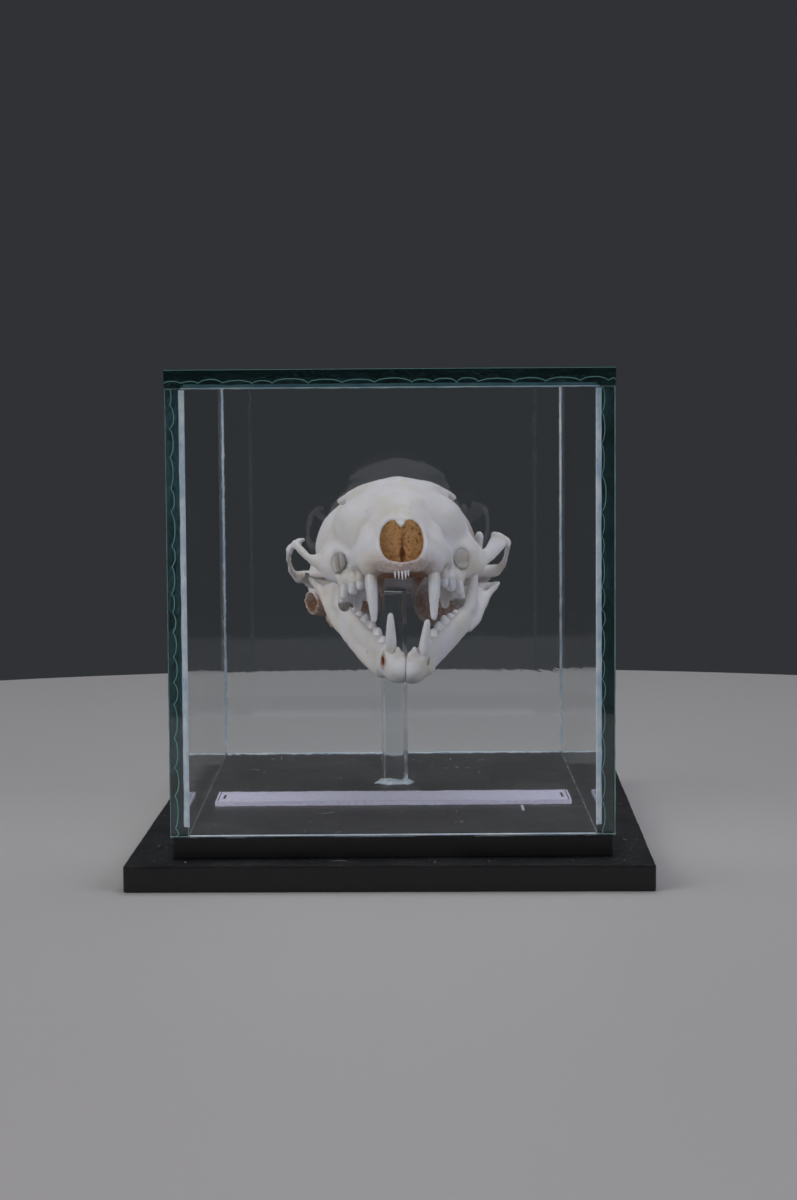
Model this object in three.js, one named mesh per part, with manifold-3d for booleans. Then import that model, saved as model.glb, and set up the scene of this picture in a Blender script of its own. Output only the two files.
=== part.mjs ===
// A stoat skull, life size, with its jaw open, fixed on a clear rod inside a small glued glass case
// that stands on a black plinth and base plate. Millimetres, +Z up. The skull looks along -Y.
// The origin is the centre of the base plate's underside.
import * as THREE from "three";
import { mergeVertices } from "three/addons/utils/BufferGeometryUtils.js";
import Module from "manifold-3d";

const wasm = await Module();
wasm.setup();

// Driving dimensions of the case
const CASE_WIDTH = 50;
const CASE_DEPTH = 70;
const WALL_HEIGHT = 50.2;
const GLASS = 2;
const GLUE_LINE = 0.1;
const CASE_SHIFT_X = -0.35;
const BASE = { width: 59, depth: 79, height: 3, edge: 0.35, turn: -1.2 };
const PLINTH = { inset: 0.3, height: 2.4 };
const FLOOR_Z = BASE.height + PLINTH.height;
const BEAD_FRONT = 0.9;
const BEAD_BACK = 1.5;
const BEAD_FLOOR = 0.8;
const BEAD_GAP = 0.15;
const LABEL = { width: 43, depth: 8.2, thick: 0.5, y: -7.6 };
const ROD = { side: 2.8, turn: -13, x: -0.15, y: 6.6, top: 29.95 };
const FOOT = { radius: 2.8, squash: 0.9, height: 0.55, gap: 0.05 };

// Where the skull's own frame sits: its origin is the bone edge between the first upper incisors,
// +Y runs to the back of the head and +Z to the crown.
const SKULL_AT = [1.02, -24, 34.3];
const SKULL_TILT = { pitch: -9.3, yaw: 1.5, roll: -1.4 };
// The jaw's own frame has its origin midway between the two jaw joints.
const JAW_AT = [1.15, 4.4, 30.4];
const JAW_TILT = { pitch: 17.8, yaw: 0.7, roll: 1.8 };
const TOUCH_GAP = 0.3;
const JOINT_ROOM = 0.45;

function poseMatrix(at, { pitch, yaw, roll }) {
  const turn = new THREE.Euler(radians(pitch), radians(roll), radians(yaw), "ZYX");
  return new THREE.Matrix4().makeRotationFromEuler(turn).setPosition(...at);
}

const radians = THREE.MathUtils.degToRad;

// A smooth curve through [position, value] rows, which never overshoots a row's value
function curveThrough(rows) {
  const slope = rows.map((row, i) => {
    if (i === 0 || i === rows.length - 1) return 0;
    const before = (row[1] - rows[i - 1][1]) / (row[0] - rows[i - 1][0]);
    const after = (rows[i + 1][1] - row[1]) / (rows[i + 1][0] - row[0]);
    return before * after <= 0 ? 0 : (2 * before * after) / (before + after);
  });
  return (at) => {
    const last = rows.length - 1;
    if (at <= rows[0][0]) return rows[0][1];
    if (at >= rows[last][0]) return rows[last][1];
    const i = rows.findIndex((row) => row[0] > at) - 1;
    const span = rows[i + 1][0] - rows[i][0];
    const t = (at - rows[i][0]) / span;
    const rise = rows[i + 1][1] - rows[i][1];
    const a = slope[i] * span - rise;
    const b = rise - slope[i + 1] * span;
    return rows[i][1] + rise * t + t * (1 - t) * (a * (1 - t) + b * t);
  };
}

// Solids

const box = (w, d, h) => new THREE.BoxGeometry(w, d, h);

// A closed surface from rings of equally many points, with a fan over each end
function solidFromRings(rings) {
  const sides = rings[0].length;
  const points = rings.flat();
  const faces = [];
  for (let r = 0; r + 1 < rings.length; r++) {
    for (let s = 0; s < sides; s++) {
      const a = r * sides + s;
      const b = r * sides + ((s + 1) % sides);
      faces.push(a, b, a + sides, b, b + sides, a + sides);
    }
  }
  const middle = (ring) =>
    ring.reduce((sum, p) => sum.add(p), new THREE.Vector3()).divideScalar(sides);
  const first = points.push(middle(rings[0])) - 1;
  const last = points.push(middle(rings.at(-1))) - 1;
  const lastRing = (rings.length - 1) * sides;
  for (let s = 0; s < sides; s++) {
    const next = (s + 1) % sides;
    faces.push(next, s, first);
    faces.push(lastRing + s, lastRing + next, last);
  }
  const geometry = new THREE.BufferGeometry();
  geometry.setAttribute(
    "position",
    new THREE.Float32BufferAttribute(points.flatMap((p) => p.toArray()), 3),
  );
  geometry.setIndex(faces);
  return solidFromGeometry(geometry);
}

function solidFromGeometry(geometry) {
  const bare = geometry.clone();
  for (const name of Object.keys(bare.attributes)) {
    if (name !== "position") bare.deleteAttribute(name);
  }
  const merged = mergeVertices(bare, 1e-4);
  const mesh = (triVerts) =>
    new wasm.Manifold(
      new wasm.Mesh({
        numProp: 3,
        vertProperties: merged.attributes.position.array,
        triVerts,
      }),
    );
  const index = merged.index.array;
  const solid = mesh(new Uint32Array(index));
  if (solid.volume() > 0) return solid;
  const turned = new Uint32Array(index.length);
  for (let i = 0; i < index.length; i += 3) {
    turned.set([index[i], index[i + 2], index[i + 1]], i);
  }
  return mesh(turned);
}

// Only the largest closed surface is kept, so that no loose scrap or sealed hollow is left, and
// slivers that a join leaves are taken away.
const SLIVER = 0.06;
function largestPiece(solid) {
  const pieces = solid.decompose();
  return pieces.reduce((a, b) => (b.volume() > a.volume() ? b : a)).simplify(SLIVER);
}

function geometryOf(solid) {
  const mesh = solid.getMesh();
  const geometry = new THREE.BufferGeometry();
  geometry.setAttribute(
    "position",
    new THREE.BufferAttribute(new Float32Array(mesh.vertProperties), 3),
  );
  geometry.setIndex(new THREE.BufferAttribute(new Uint32Array(mesh.triVerts), 1));
  geometry.computeVertexNormals();
  return geometry;
}

const mirrored = (solid) => solid.mirror([1, 0, 0]);
const onBothSides = (solids) => solids.flatMap((solid) => [solid, mirrored(solid)]);

// A limb of bone or a tooth: rings along a smooth path, with a width and a height at each point.
// Each stop is [x, y, z, half width, half height]. `up` is the direction that the height follows.
function limb(stops, { steps = 10, sides = 8, up = [0, 0, 1] } = {}) {
  const path = new THREE.CatmullRomCurve3(
    stops.map(([x, y, z]) => new THREE.Vector3(x, y, z)),
    false,
    "centripetal",
  );
  const last = stops.length - 1;
  const widthAt = curveThrough(stops.map((stop, i) => [i / last, stop[3]]));
  const heightAt = curveThrough(stops.map((stop, i) => [i / last, stop[4]]));
  const upward = new THREE.Vector3(...up);
  const rings = [];
  for (let i = 0; i <= steps; i++) {
    const t = i / steps;
    const centre = path.getPoint(t);
    const side = new THREE.Vector3().crossVectors(path.getTangent(t), upward).normalize();
    const tall = new THREE.Vector3().crossVectors(side, path.getTangent(t)).normalize();
    const ring = [];
    for (let s = 0; s < sides; s++) {
      const angle = (s / sides) * 2 * Math.PI;
      const across = widthAt(t) * Math.cos(angle);
      const along = heightAt(t) * Math.sin(angle);
      ring.push(centre.clone().addScaledVector(side, across).addScaledVector(tall, along));
    }
    rings.push(ring);
  }
  return solidFromRings(rings);
}

// An ellipsoid with the given half sizes
function ellipsoid([x, y, z], [rx, ry, rz], detail = 10) {
  const ball = new THREE.SphereGeometry(1, detail, Math.ceil(detail * 0.7));
  ball.scale(rx, ry, rz).translate(x, y, z);
  return solidFromGeometry(ball);
}

// How far a point lies towards the surface of a rounded lump, 1 being on the surface. The lump's
// half sizes differ to the front, back, bottom and top.
function lumpReach([dx, dy, dz], { side, front, back, down, up, power = 2 }) {
  const share = [dx / side, dy / (dy < 0 ? front : back), dz / (dz < 0 ? down : up)];
  return share.reduce((sum, s) => sum + Math.abs(s) ** power, 0) ** (1 / power);
}

function lumpSolid(sizes, detail) {
  const ball = new THREE.SphereGeometry(1, detail, Math.ceil(detail * 0.7));
  const position = ball.attributes.position;
  for (let i = 0; i < position.count; i++) {
    const p = new THREE.Vector3().fromBufferAttribute(position, i);
    p.divideScalar(lumpReach(p.toArray(), sizes));
    position.setXYZ(i, p.x + sizes.at[0], p.y + sizes.at[1], p.z + sizes.at[2]);
  }
  return solidFromGeometry(ball);
}

// The skull's core as a field that is negative inside the bone

function lump(sizes) {
  return (x, y, z) => {
    const from = [x - sizes.at[0], y - sizes.at[1], z - sizes.at[2]];
    const reach = lumpReach(from, sizes);
    const away = Math.hypot(...from);
    return reach === 0 ? -sizes.side : away - away / reach;
  };
}

// A straight tapering bar with round ends, `flat` times as wide as it is tall
function bar({ from, to, radius, flat = 1 }) {
  const a = new THREE.Vector3(...from);
  const along = new THREE.Vector3(...to).sub(a);
  return (x, y, z) => {
    const p = new THREE.Vector3(x, y, z).sub(a);
    const t = THREE.MathUtils.clamp(p.dot(along) / along.lengthSq(), 0, 1);
    p.addScaledVector(along, -t);
    return Math.hypot(p.x / flat, p.y, p.z) - THREE.MathUtils.lerp(radius[0], radius[1], t);
  };
}

const bothSides = (field) => (x, y, z) => field(Math.abs(x), y, z);

function blended(fields, softness) {
  return (x, y, z) =>
    fields.reduce((so, field) => {
      const next = field(x, y, z);
      const near = Math.max(softness - Math.abs(so - next), 0) / softness;
      return Math.min(so, next) - (near * near * softness) / 4;
    }, 1e3);
}

const CORE_SOFTNESS = 1.6;
const skullCore = blended(
  [
    // braincase
    lump({ at: [0, 33.4, 6.2], side: 10.2, front: 12.8, back: 11.4, down: 5, up: 7.6, power: 2.1 }),
    // back of the head, above the neck joint
    lump({ at: [0, 38, 5.8], side: 7.6, front: 6, back: 7.2, down: 4, up: 5.6, power: 3 }),
    // forehead and the bridge between the eye sockets
    lump({ at: [0, 17, 7.4], side: 6, front: 9.6, back: 9, down: 5.4, up: 4.5, power: 2.3 }),
    // roof from the forehead to the crown
    bar({ from: [0, 19.5, 8.6], to: [0, 37, 9.2], radius: [3.2, 4.2], flat: 1.35 }),
    // brow
    lump({ at: [0, 17, 11.25], side: 5.6, front: 3.3, back: 3.3, down: 1.6, up: 1.65, power: 2.6 }),
    // side of the face, out to the eye socket's rim
    bothSides(
      lump({ at: [4.6, 13.8, 6.4], side: 3.4, front: 5.6, back: 2.6, down: 3.9, up: 3.9, power: 2.1 }),
    ),
    // muzzle
    bar({ from: [0, 3.6, 3.7], to: [0, 14.5, 7.6], radius: [2.95, 4.9], flat: 1.12 }),
    // bone in front, which holds the incisors
    lump({ at: [0, 2.8, 2.1], side: 3.4, front: 2.2, back: 3, down: 1.6, up: 2, power: 2.8 }),
    // tooth-bearing bone around the palate
    lump({ at: [0, 9.6, 1.9], side: 6.3, front: 8.2, back: 7.2, down: 1.45, up: 3.4, power: 2.6 }),
    // bone over the palate's end
    lump({ at: [0, 17.5, 3], side: 3.4, front: 6, back: 5, down: 1.9, up: 3 }),
    // canine root
    bothSides(bar({ from: [3.62, 3.5, 1.3], to: [3.9, 6.6, 5.2], radius: [1.15, 1] })),
  ],
  CORE_SOFTNESS,
);

// The core's surface, found along rays that fan out at the muzzle, stand upright along the head's
// middle line and fan out again at the back of the head
const CORE_RAYS = { around: 32, along: 30, fan: 5, reach: 16, step: 0.2 };
const MUZZLE_CENTRE = [0, 2.6, 2.9];
const OCCIPUT_CENTRE = [0, 41, 5];
const coreMiddle = curveThrough([
  [2.6, 2.9],
  [10, 4.4],
  [18, 6.6],
  [28, 6],
  [41, 5],
]);

function surfaceAlong(field, origin, direction) {
  const at = (t) => field(...origin.map((o, i) => o + direction[i] * t));
  let outside = CORE_RAYS.reach;
  while (at(outside) > 0 && outside > 0) outside -= CORE_RAYS.step;
  let inside = outside;
  outside += CORE_RAYS.step;
  for (let i = 0; i < 12; i++) {
    const middle = (inside + outside) / 2;
    if (at(middle) > 0) outside = middle;
    else inside = middle;
  }
  return new THREE.Vector3(...origin.map((o, i) => o + direction[i] * outside));
}

function skullCoreSolid() {
  const stations = [];
  for (let i = 1; i <= CORE_RAYS.fan; i++) {
    stations.push({ origin: MUZZLE_CENTRE, lean: (i / CORE_RAYS.fan) * 90 });
  }
  for (let i = 1; i < CORE_RAYS.along; i++) {
    const y = THREE.MathUtils.lerp(MUZZLE_CENTRE[1], OCCIPUT_CENTRE[1], i / CORE_RAYS.along);
    stations.push({ origin: [0, y, coreMiddle(y)], lean: 90 });
  }
  for (let i = 0; i < CORE_RAYS.fan; i++) {
    stations.push({ origin: OCCIPUT_CENTRE, lean: 90 + (i / CORE_RAYS.fan) * 90 });
  }
  const rings = stations.map(({ origin, lean }) => {
    const ring = [];
    for (let s = 0; s < CORE_RAYS.around; s++) {
      const angle = (s / CORE_RAYS.around) * 2 * Math.PI;
      const out = Math.sin(radians(lean));
      const direction = [out * Math.sin(angle), -Math.cos(radians(lean)), out * Math.cos(angle)];
      ring.push(surfaceAlong(skullCore, origin, direction));
    }
    return ring;
  });
  return solidFromRings(rings);
}

// Teeth

// A tooth is a list of cusps. Each cusp is a path from the root to the tip; its stops are
// [x, y, z, half width, half length] of level oval rings.
function cusp(stops, sides = 6) {
  const rings = stops.map(([x, y, z, halfWidth, halfLength]) => {
    const ring = [];
    for (let s = 0; s < sides; s++) {
      const angle = (s / sides) * 2 * Math.PI;
      const across = halfWidth * Math.cos(angle);
      ring.push(new THREE.Vector3(x + across, y + halfLength * Math.sin(angle), z));
    }
    return ring;
  });
  return solidFromRings(rings);
}

// Upper teeth of one side, in the skull's frame, from the front to the back
const UPPER_TEETH = {
  canine: [
    [
      [3.7, 3.9, 2, 0.62, 0.95],
      [3.72, 3.75, 0.4, 0.75, 1.08],
      [3.66, 3.6, -1.4, 0.75, 1],
      [3.56, 3.65, -3.2, 0.6, 0.8],
      [3.5, 3.85, -4.7, 0.43, 0.54],
      [3.5, 3.9, -5.15, 0.26, 0.3],
    ],
  ],
  firstPremolar: [
    [
      [4.7, 6, 0.9, 0.46, 0.65],
      [4.9, 5.95, -0.3, 0.5, 0.7],
      [5.05, 5.9, -1.1, 0.4, 0.44],
      [5.05, 5.9, -1.4, 0.2, 0.22],
    ],
  ],
  secondPremolar: [
    [
      [5.3, 7.9, 1, 0.54, 1],
      [5.6, 7.8, -0.3, 0.56, 1.05],
      [5.85, 7.7, -1.35, 0.42, 0.46],
      [5.85, 7.7, -1.7, 0.2, 0.22],
    ],
  ],
  carnassial: [
    [
      [6.5, 9.8, 0.8, 0.6, 0.85],
      [6.75, 9.6, -0.5, 0.65, 0.9],
      [6.9, 9.5, -1.6, 0.55, 0.65],
      [6.9, 9.5, -2.05, 0.3, 0.35],
    ],
    [
      [6.5, 11.2, 1, 0.7, 1.35],
      [6.75, 11.2, -0.6, 0.75, 1.55],
      [6.85, 11.2, -2.2, 0.8, 1.45],
      [6.85, 11.2, -2.75, 0.7, 1.25],
      [6.85, 11.2, -3.15, 0.35, 0.8],
    ],
    [
      [6.6, 12.9, 0.6, 0.65, 0.85],
      [6.85, 12.9, -1, 0.6, 0.85],
      [6.9, 12.9, -2, 0.45, 0.65],
      [6.9, 12.9, -2.4, 0.25, 0.35],
    ],
    [
      [5, 9.2, 1, 0.6, 0.6],
      [4.9, 9.1, -0.2, 0.6, 0.6],
      [4.85, 9.1, -0.9, 0.36, 0.36],
      [4.85, 9.1, -1.2, 0.2, 0.2],
    ],
  ],
  molar: [
    [
      [6.3, 14.4, 0.8, 0.7, 0.75],
      [6.3, 14.4, -0.8, 0.7, 0.75],
      [6.3, 14.3, -1.9, 0.4, 0.45],
      [6.3, 14.3, -2.2, 0.25, 0.25],
    ],
    [
      [5.4, 14.2, 0.2, 0.66, 0.65],
      [5.3, 14, -1.4, 0.6, 0.55],
      [5.25, 13.8, -3, 0.35, 0.38],
      [5.25, 13.8, -3.3, 0.22, 0.22],
    ],
    [
      [4.3, 14.8, 1, 0.82, 0.95],
      [4.2, 14.8, -0.4, 0.8, 0.95],
      [4.2, 14.8, -1.4, 0.55, 0.65],
      [4.2, 14.8, -1.8, 0.3, 0.35],
    ],
  ],
};
// The worn incisors that are left in the front edge: where each stands across it and its length
const UPPER_INCISORS = [
  { x: -1.7, length: 0.3 },
  { x: -0.92, length: 0.85 },
  { x: -0.4, length: 0.8 },
  { x: 0.12, length: 0.85 },
  { x: 1.1, length: 0.4 },
  { x: 1.75, length: 0.3 },
];
const incisor = ({ x, length }) => {
  const y = 0.95 + 0.24 * x * x;
  return cusp(
    [
      [x, y + 0.2, 0.9, 0.26, 0.3],
      [x, y, 0.1, 0.26, 0.28],
      [x, y - 0.1, -length, 0.16, 0.18],
    ],
    6,
  );
};

// Lower teeth of one side, in the jaw's frame
const LOWER_TEETH = {
  firstPremolar: [
    [
      [2.35, -22.8, 0.6, 0.55, 0.65],
      [2.35, -22.8, 1.4, 0.6, 0.75],
      [2.35, -22.9, 1.9, 0.35, 0.4],
    ],
  ],
  secondPremolar: [
    [
      [2.8, -20.8, 0.4, 0.65, 1.05],
      [2.75, -20.8, 1.2, 0.72, 1.15],
      [2.7, -20.95, 1.8, 0.5, 0.7],
      [2.7, -21, 2.2, 0.3, 0.36],
    ],
  ],
  thirdPremolar: [
    [
      [3.5, -18.4, 0.2, 0.7, 1.2],
      [3.4, -18.4, 1, 0.78, 1.35],
      [3.3, -18.5, 1.7, 0.55, 0.85],
      [3.25, -18.6, 2.3, 0.3, 0.4],
    ],
  ],
  carnassial: [
    [
      [4.35, -15.9, 0, 0.75, 1.2],
      [4.2, -15.9, 0.9, 0.82, 1.35],
      [4.05, -16.1, 1.6, 0.55, 1],
      [4, -16.2, 2.2, 0.3, 0.55],
    ],
    [
      [5, -13.9, -0.2, 0.75, 1.2],
      [4.9, -13.9, 0.7, 0.84, 1.35],
      [4.75, -13.9, 1.5, 0.55, 1],
      [4.7, -13.9, 2.1, 0.3, 0.5],
    ],
    [
      [5.7, -12, -0.2, 0.7, 0.9],
      [5.6, -12, 0.7, 0.75, 1],
      [5.5, -12, 1.35, 0.45, 0.6],
    ],
  ],
  molar: [
    [
      [6.3, -10.4, -0.2, 0.55, 0.6],
      [6.2, -10.4, 0.8, 0.6, 0.66],
      [6.15, -10.4, 1.3, 0.35, 0.4],
    ],
  ],
};
// Each side's lower canine: where its root stands, how far its tip leans out, its neck and its tip
const LOWER_CANINE = {
  left: { x: 2.05, lean: 0.33, neck: 2.2, tip: 6.4 },
  right: { x: 1.78, lean: 0.15, neck: 3, tip: 7.1 },
};
const CANINE_TAPER = [
  [-0.55, 0.6],
  [0, 0.68],
  [0.3, 0.64],
  [0.6, 0.53],
  [0.88, 0.4],
  [1, 0.24],
];
const lowerCanine = ({ x, lean, neck, tip }) =>
  cusp(
    CANINE_TAPER.map(([along, half]) => {
      const bow = 0.5 * along * (1.2 - along);
      return [x + lean * along, -25.3 - bow, neck + (tip - neck) * along, half, 1.2 * half];
    }),
    10,
  );

const teethOf = (set) => Object.values(set).flat().map((stops) => cusp(stops));

// The jaw's joint roller, in the jaw's frame, grown outwards by `room`
const jointRoller = (room) =>
  limb(
    [
      [7.3 - room, 0, -0.1, 0.5 + room, 0.5 + room],
      [8.8, 0, 0.1, 0.76 + room, 0.76 + room],
      [10.4, 0, 0.35, 0.66 + room, 0.66 + room],
      [11.9 + room, 0, 0.9, 0.34 + room, 0.34 + room],
    ],
    { steps: 6, sides: 8 },
  );

// The cranium, in its own frame: one bone from muzzle to neck joint, with its upper teeth

const UPRIGHT = { up: [0, 0, 1] };
const browShelf = limb(
  [
    [1.5, 17, 11.3, 3.2, 1.55],
    [3, 17.1, 11.25, 3, 1.45],
    [4.6, 17.3, 11.1, 2.3, 1.1],
    [6, 17.7, 10.95, 1.3, 0.65],
    [7.05, 18.1, 10.7, 0.4, 0.28],
  ],
  { steps: 6, sides: 10, ...UPRIGHT },
);
const eyeSocketRim = limb(
  [
    [5.3, 15.6, 9.9, 0.9, 0.8],
    [6.2, 14.4, 8.5, 0.9, 0.8],
    [7.1, 13.5, 7, 0.9, 0.8],
    [7.8, 12.9, 5.4, 0.9, 0.85],
    [8.5, 12.8, 4.1, 0.9, 0.9],
    [9.4, 13, 3, 0.7, 0.8],
  ],
  { steps: 8, sides: 8, ...UPRIGHT },
);
const canalWall = lumpSolid(
  { at: [7.2, 12.2, 2.4], side: 2.25, front: 2.75, back: 2, down: 2.1, up: 2.75, power: 2.4 },
  12,
);
const cheekPlate = limb(
  [
    [7.6, 11.2, 0.9, 0.8, 0.8],
    [9, 12, 2, 0.65, 1.25],
    [9.9, 13, 2.7, 0.55, 1.1],
    [10.7, 14.2, 3.3, 0.5, 1],
    [11.5, 15.4, 4.2, 0.47, 1.05],
    [12.2, 16.2, 5, 0.42, 1.1],
  ],
  { steps: 9, sides: 8, up: [-0.6, 0, 0.8] },
);
const cheekPlateTop = limb(
  [
    [11.6, 15.95, 5.95, 0.34, 0.26],
    [12.3, 16.3, 5.75, 0.4, 0.4],
    [12.9, 16.7, 5.35, 0.4, 0.42],
    [13.3, 17.1, 4.85, 0.38, 0.4],
  ],
  { steps: 6, sides: 8, ...UPRIGHT },
);
const cheekArch = limb(
  [
    [13.05, 16.7, 4.9, 0.36, 0.5],
    [13.45, 20.4, 4.45, 0.34, 0.55],
    [13.45, 23.6, 3.9, 0.34, 0.55],
    [13.25, 26, 3.15, 0.36, 0.55],
    [12.7, 27.7, 2.7, 0.5, 0.6],
    [11.5, 29, 2.6, 0.8, 0.7],
    [10, 29.5, 2.6, 1, 0.8],
    [7.6, 30.2, 2.8, 1.4, 1],
  ],
  { steps: 15, sides: 8, ...UPRIGHT },
);
const jointShelf = limb(
  [
    [6.2, 29.6, 2.75, 1.6, 0.9],
    [9.6, 29, 2.65, 1.7, 0.75],
    [12.4, 28.4, 2.35, 0.95, 0.45],
  ],
  { steps: 6, sides: 10, ...UPRIGHT },
);
const jointLip = limb(
  [
    [7.2, 30.5, 1.6, 0.5, 0.7],
    [9.4, 30.35, 1.5, 0.45, 0.65],
    [11.2, 29.95, 1.75, 0.4, 0.5],
  ],
  { steps: 4, sides: 8, ...UPRIGHT },
);
const incisorEdge = limb(
  [
    [-2.4, 2.3, 1, 0.5, 0.5],
    [-1.2, 1.4, 0.72, 0.5, 0.52],
    [0, 1.15, 0.68, 0.5, 0.52],
    [1.2, 1.4, 0.72, 0.5, 0.52],
    [2.4, 2.3, 1, 0.5, 0.5],
  ],
  { steps: 8, sides: 8, ...UPRIGHT },
);
const toothRow = limb(
  [
    [3.65, 3.8, 1, 1.05, 0.8],
    [4.8, 6, 0.45, 0.75, 0.9],
    [5.6, 8, 0.3, 0.85, 0.9],
    [6.55, 10, 0.25, 0.9, 0.9],
    [6.6, 12.4, 0.3, 0.95, 0.9],
    [5.9, 14.4, 0.5, 1.2, 0.85],
  ],
  { steps: 8, sides: 8, ...UPRIGHT },
);
const hearingBulla = lumpSolid(
  { at: [5.5, 35.8, 0.8], side: 3.6, front: 5.6, back: 6.2, down: 4.6, up: 3, power: 2.2 },
  14,
);
const mastoid = lumpSolid(
  { at: [7.9, 37.4, 2.6], side: 3.5, front: 3.8, back: 4, down: 4.7, up: 4.4, power: 2 },
  12,
);
const neckJoint = ellipsoid([3.2, 44.2, 3.2], [1.9, 2.7, 2.2], 12);
const palateWing = limb(
  [
    [2.5, 18.5, 1.6, 0.6, 1.4],
    [2.2, 23.5, 1.2, 0.5, 1.5],
    [2.1, 27.6, 0.3, 0.35, 0.6],
  ],
  { steps: 8, sides: 8, ...UPRIGHT },
);
const neckCrest = limb(
  [
    [-8.9, 40.4, 4, 0.8, 0.6],
    [-7, 43.2, 8, 0.8, 0.6],
    [0, 44.7, 10.9, 1, 0.8],
    [7, 43.2, 8, 0.8, 0.6],
    [8.9, 40.4, 4, 0.8, 0.6],
  ],
  { steps: 16, sides: 8, ...UPRIGHT },
);
const crownCrest = limb(
  [
    [0, 22, 12, 0.8, 0.8],
    [0, 34, 13.2, 0.5, 0.8],
    [0, 41, 12.3, 0.5, 0.8],
    [0, 45, 10.9, 0.7, 0.8],
  ],
  { steps: 8, sides: 8, ...UPRIGHT },
);

// Openings: nose, eye-socket canal in front of each cheek arch, ear and neck
const noseLobe = limb(
  [
    [1.1, -1.5, 3.9, 1.5, 2.35],
    [1.15, 2.6, 4, 1.4, 2.3],
    [1.1, 3.7, 4.3, 1.2, 1.9],
  ],
  { steps: 3, sides: 16, ...UPRIGHT },
);
const noseFloor = limb(
  [
    [0, -1.5, 3, 1.6, 1.7],
    [0, 2.4, 3.1, 1.45, 1.6],
    [0, 3.5, 3.4, 1.2, 1.3],
  ],
  { steps: 3, sides: 12, ...UPRIGHT },
);
const cheekCanal = limb(
  [
    [7.2, 6.6, 2.05, 1.15, 1.45],
    [7.2, 9.6, 2.25, 0.95, 1.3],
    [7.35, 12, 2.6, 0.95, 1.25],
    [7.8, 14.5, 3.2, 1.2, 1.3],
    [8.4, 17, 4.2, 1.6, 1.5],
  ],
  { steps: 6, sides: 12, ...UPRIGHT },
);
const earOpening = ellipsoid([11, 35.2, -0.6], [2.2, 1.1, 1], 12);
const neckOpening = limb(
  [
    [0, 50, 5.1, 2.7, 2],
    [0, 42.5, 5.1, 2.5, 1.9],
    [0, 38, 5.3, 1.4, 1.2],
  ],
  { steps: 6, sides: 12, ...UPRIGHT },
);

const onBothSidesOfHead = onBothSides([
  browShelf,
  eyeSocketRim,
  canalWall,
  cheekPlate,
  cheekPlateTop,
  cheekArch,
  jointShelf,
  jointLip,
  toothRow,
  hearingBulla,
  mastoid,
  neckJoint,
  palateWing,
]);
const craniumBone = wasm.Manifold.union([
  skullCoreSolid(),
  incisorEdge,
  neckCrest,
  crownCrest,
  ...onBothSidesOfHead,
]).simplify(SLIVER);
// Room for the jaw's joint rollers, wherever the jaw is set
const jawToSkull = poseMatrix(SKULL_AT, SKULL_TILT).invert().multiply(poseMatrix(JAW_AT, JAW_TILT));
const jointRoom = jointRoller(JOINT_ROOM);
const jointRooms = wasm.Manifold.union(onBothSides([jointRoom])).transform(jawToSkull.elements);
const craniumOpenings = wasm.Manifold.union([
  noseFloor,
  neckOpening,
  jointRooms,
  ...onBothSides([noseLobe, cheekCanal, earOpening]),
]);
const cranium = largestPiece(
  wasm.Manifold.union([
    craniumBone.subtract(craniumOpenings),
    ...UPPER_INCISORS.map(incisor),
    ...onBothSides(teethOf(UPPER_TEETH)),
  ]),
);

// One half of the lower jaw, in the jaw's frame, with its teeth; built for +X and mirrored

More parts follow.
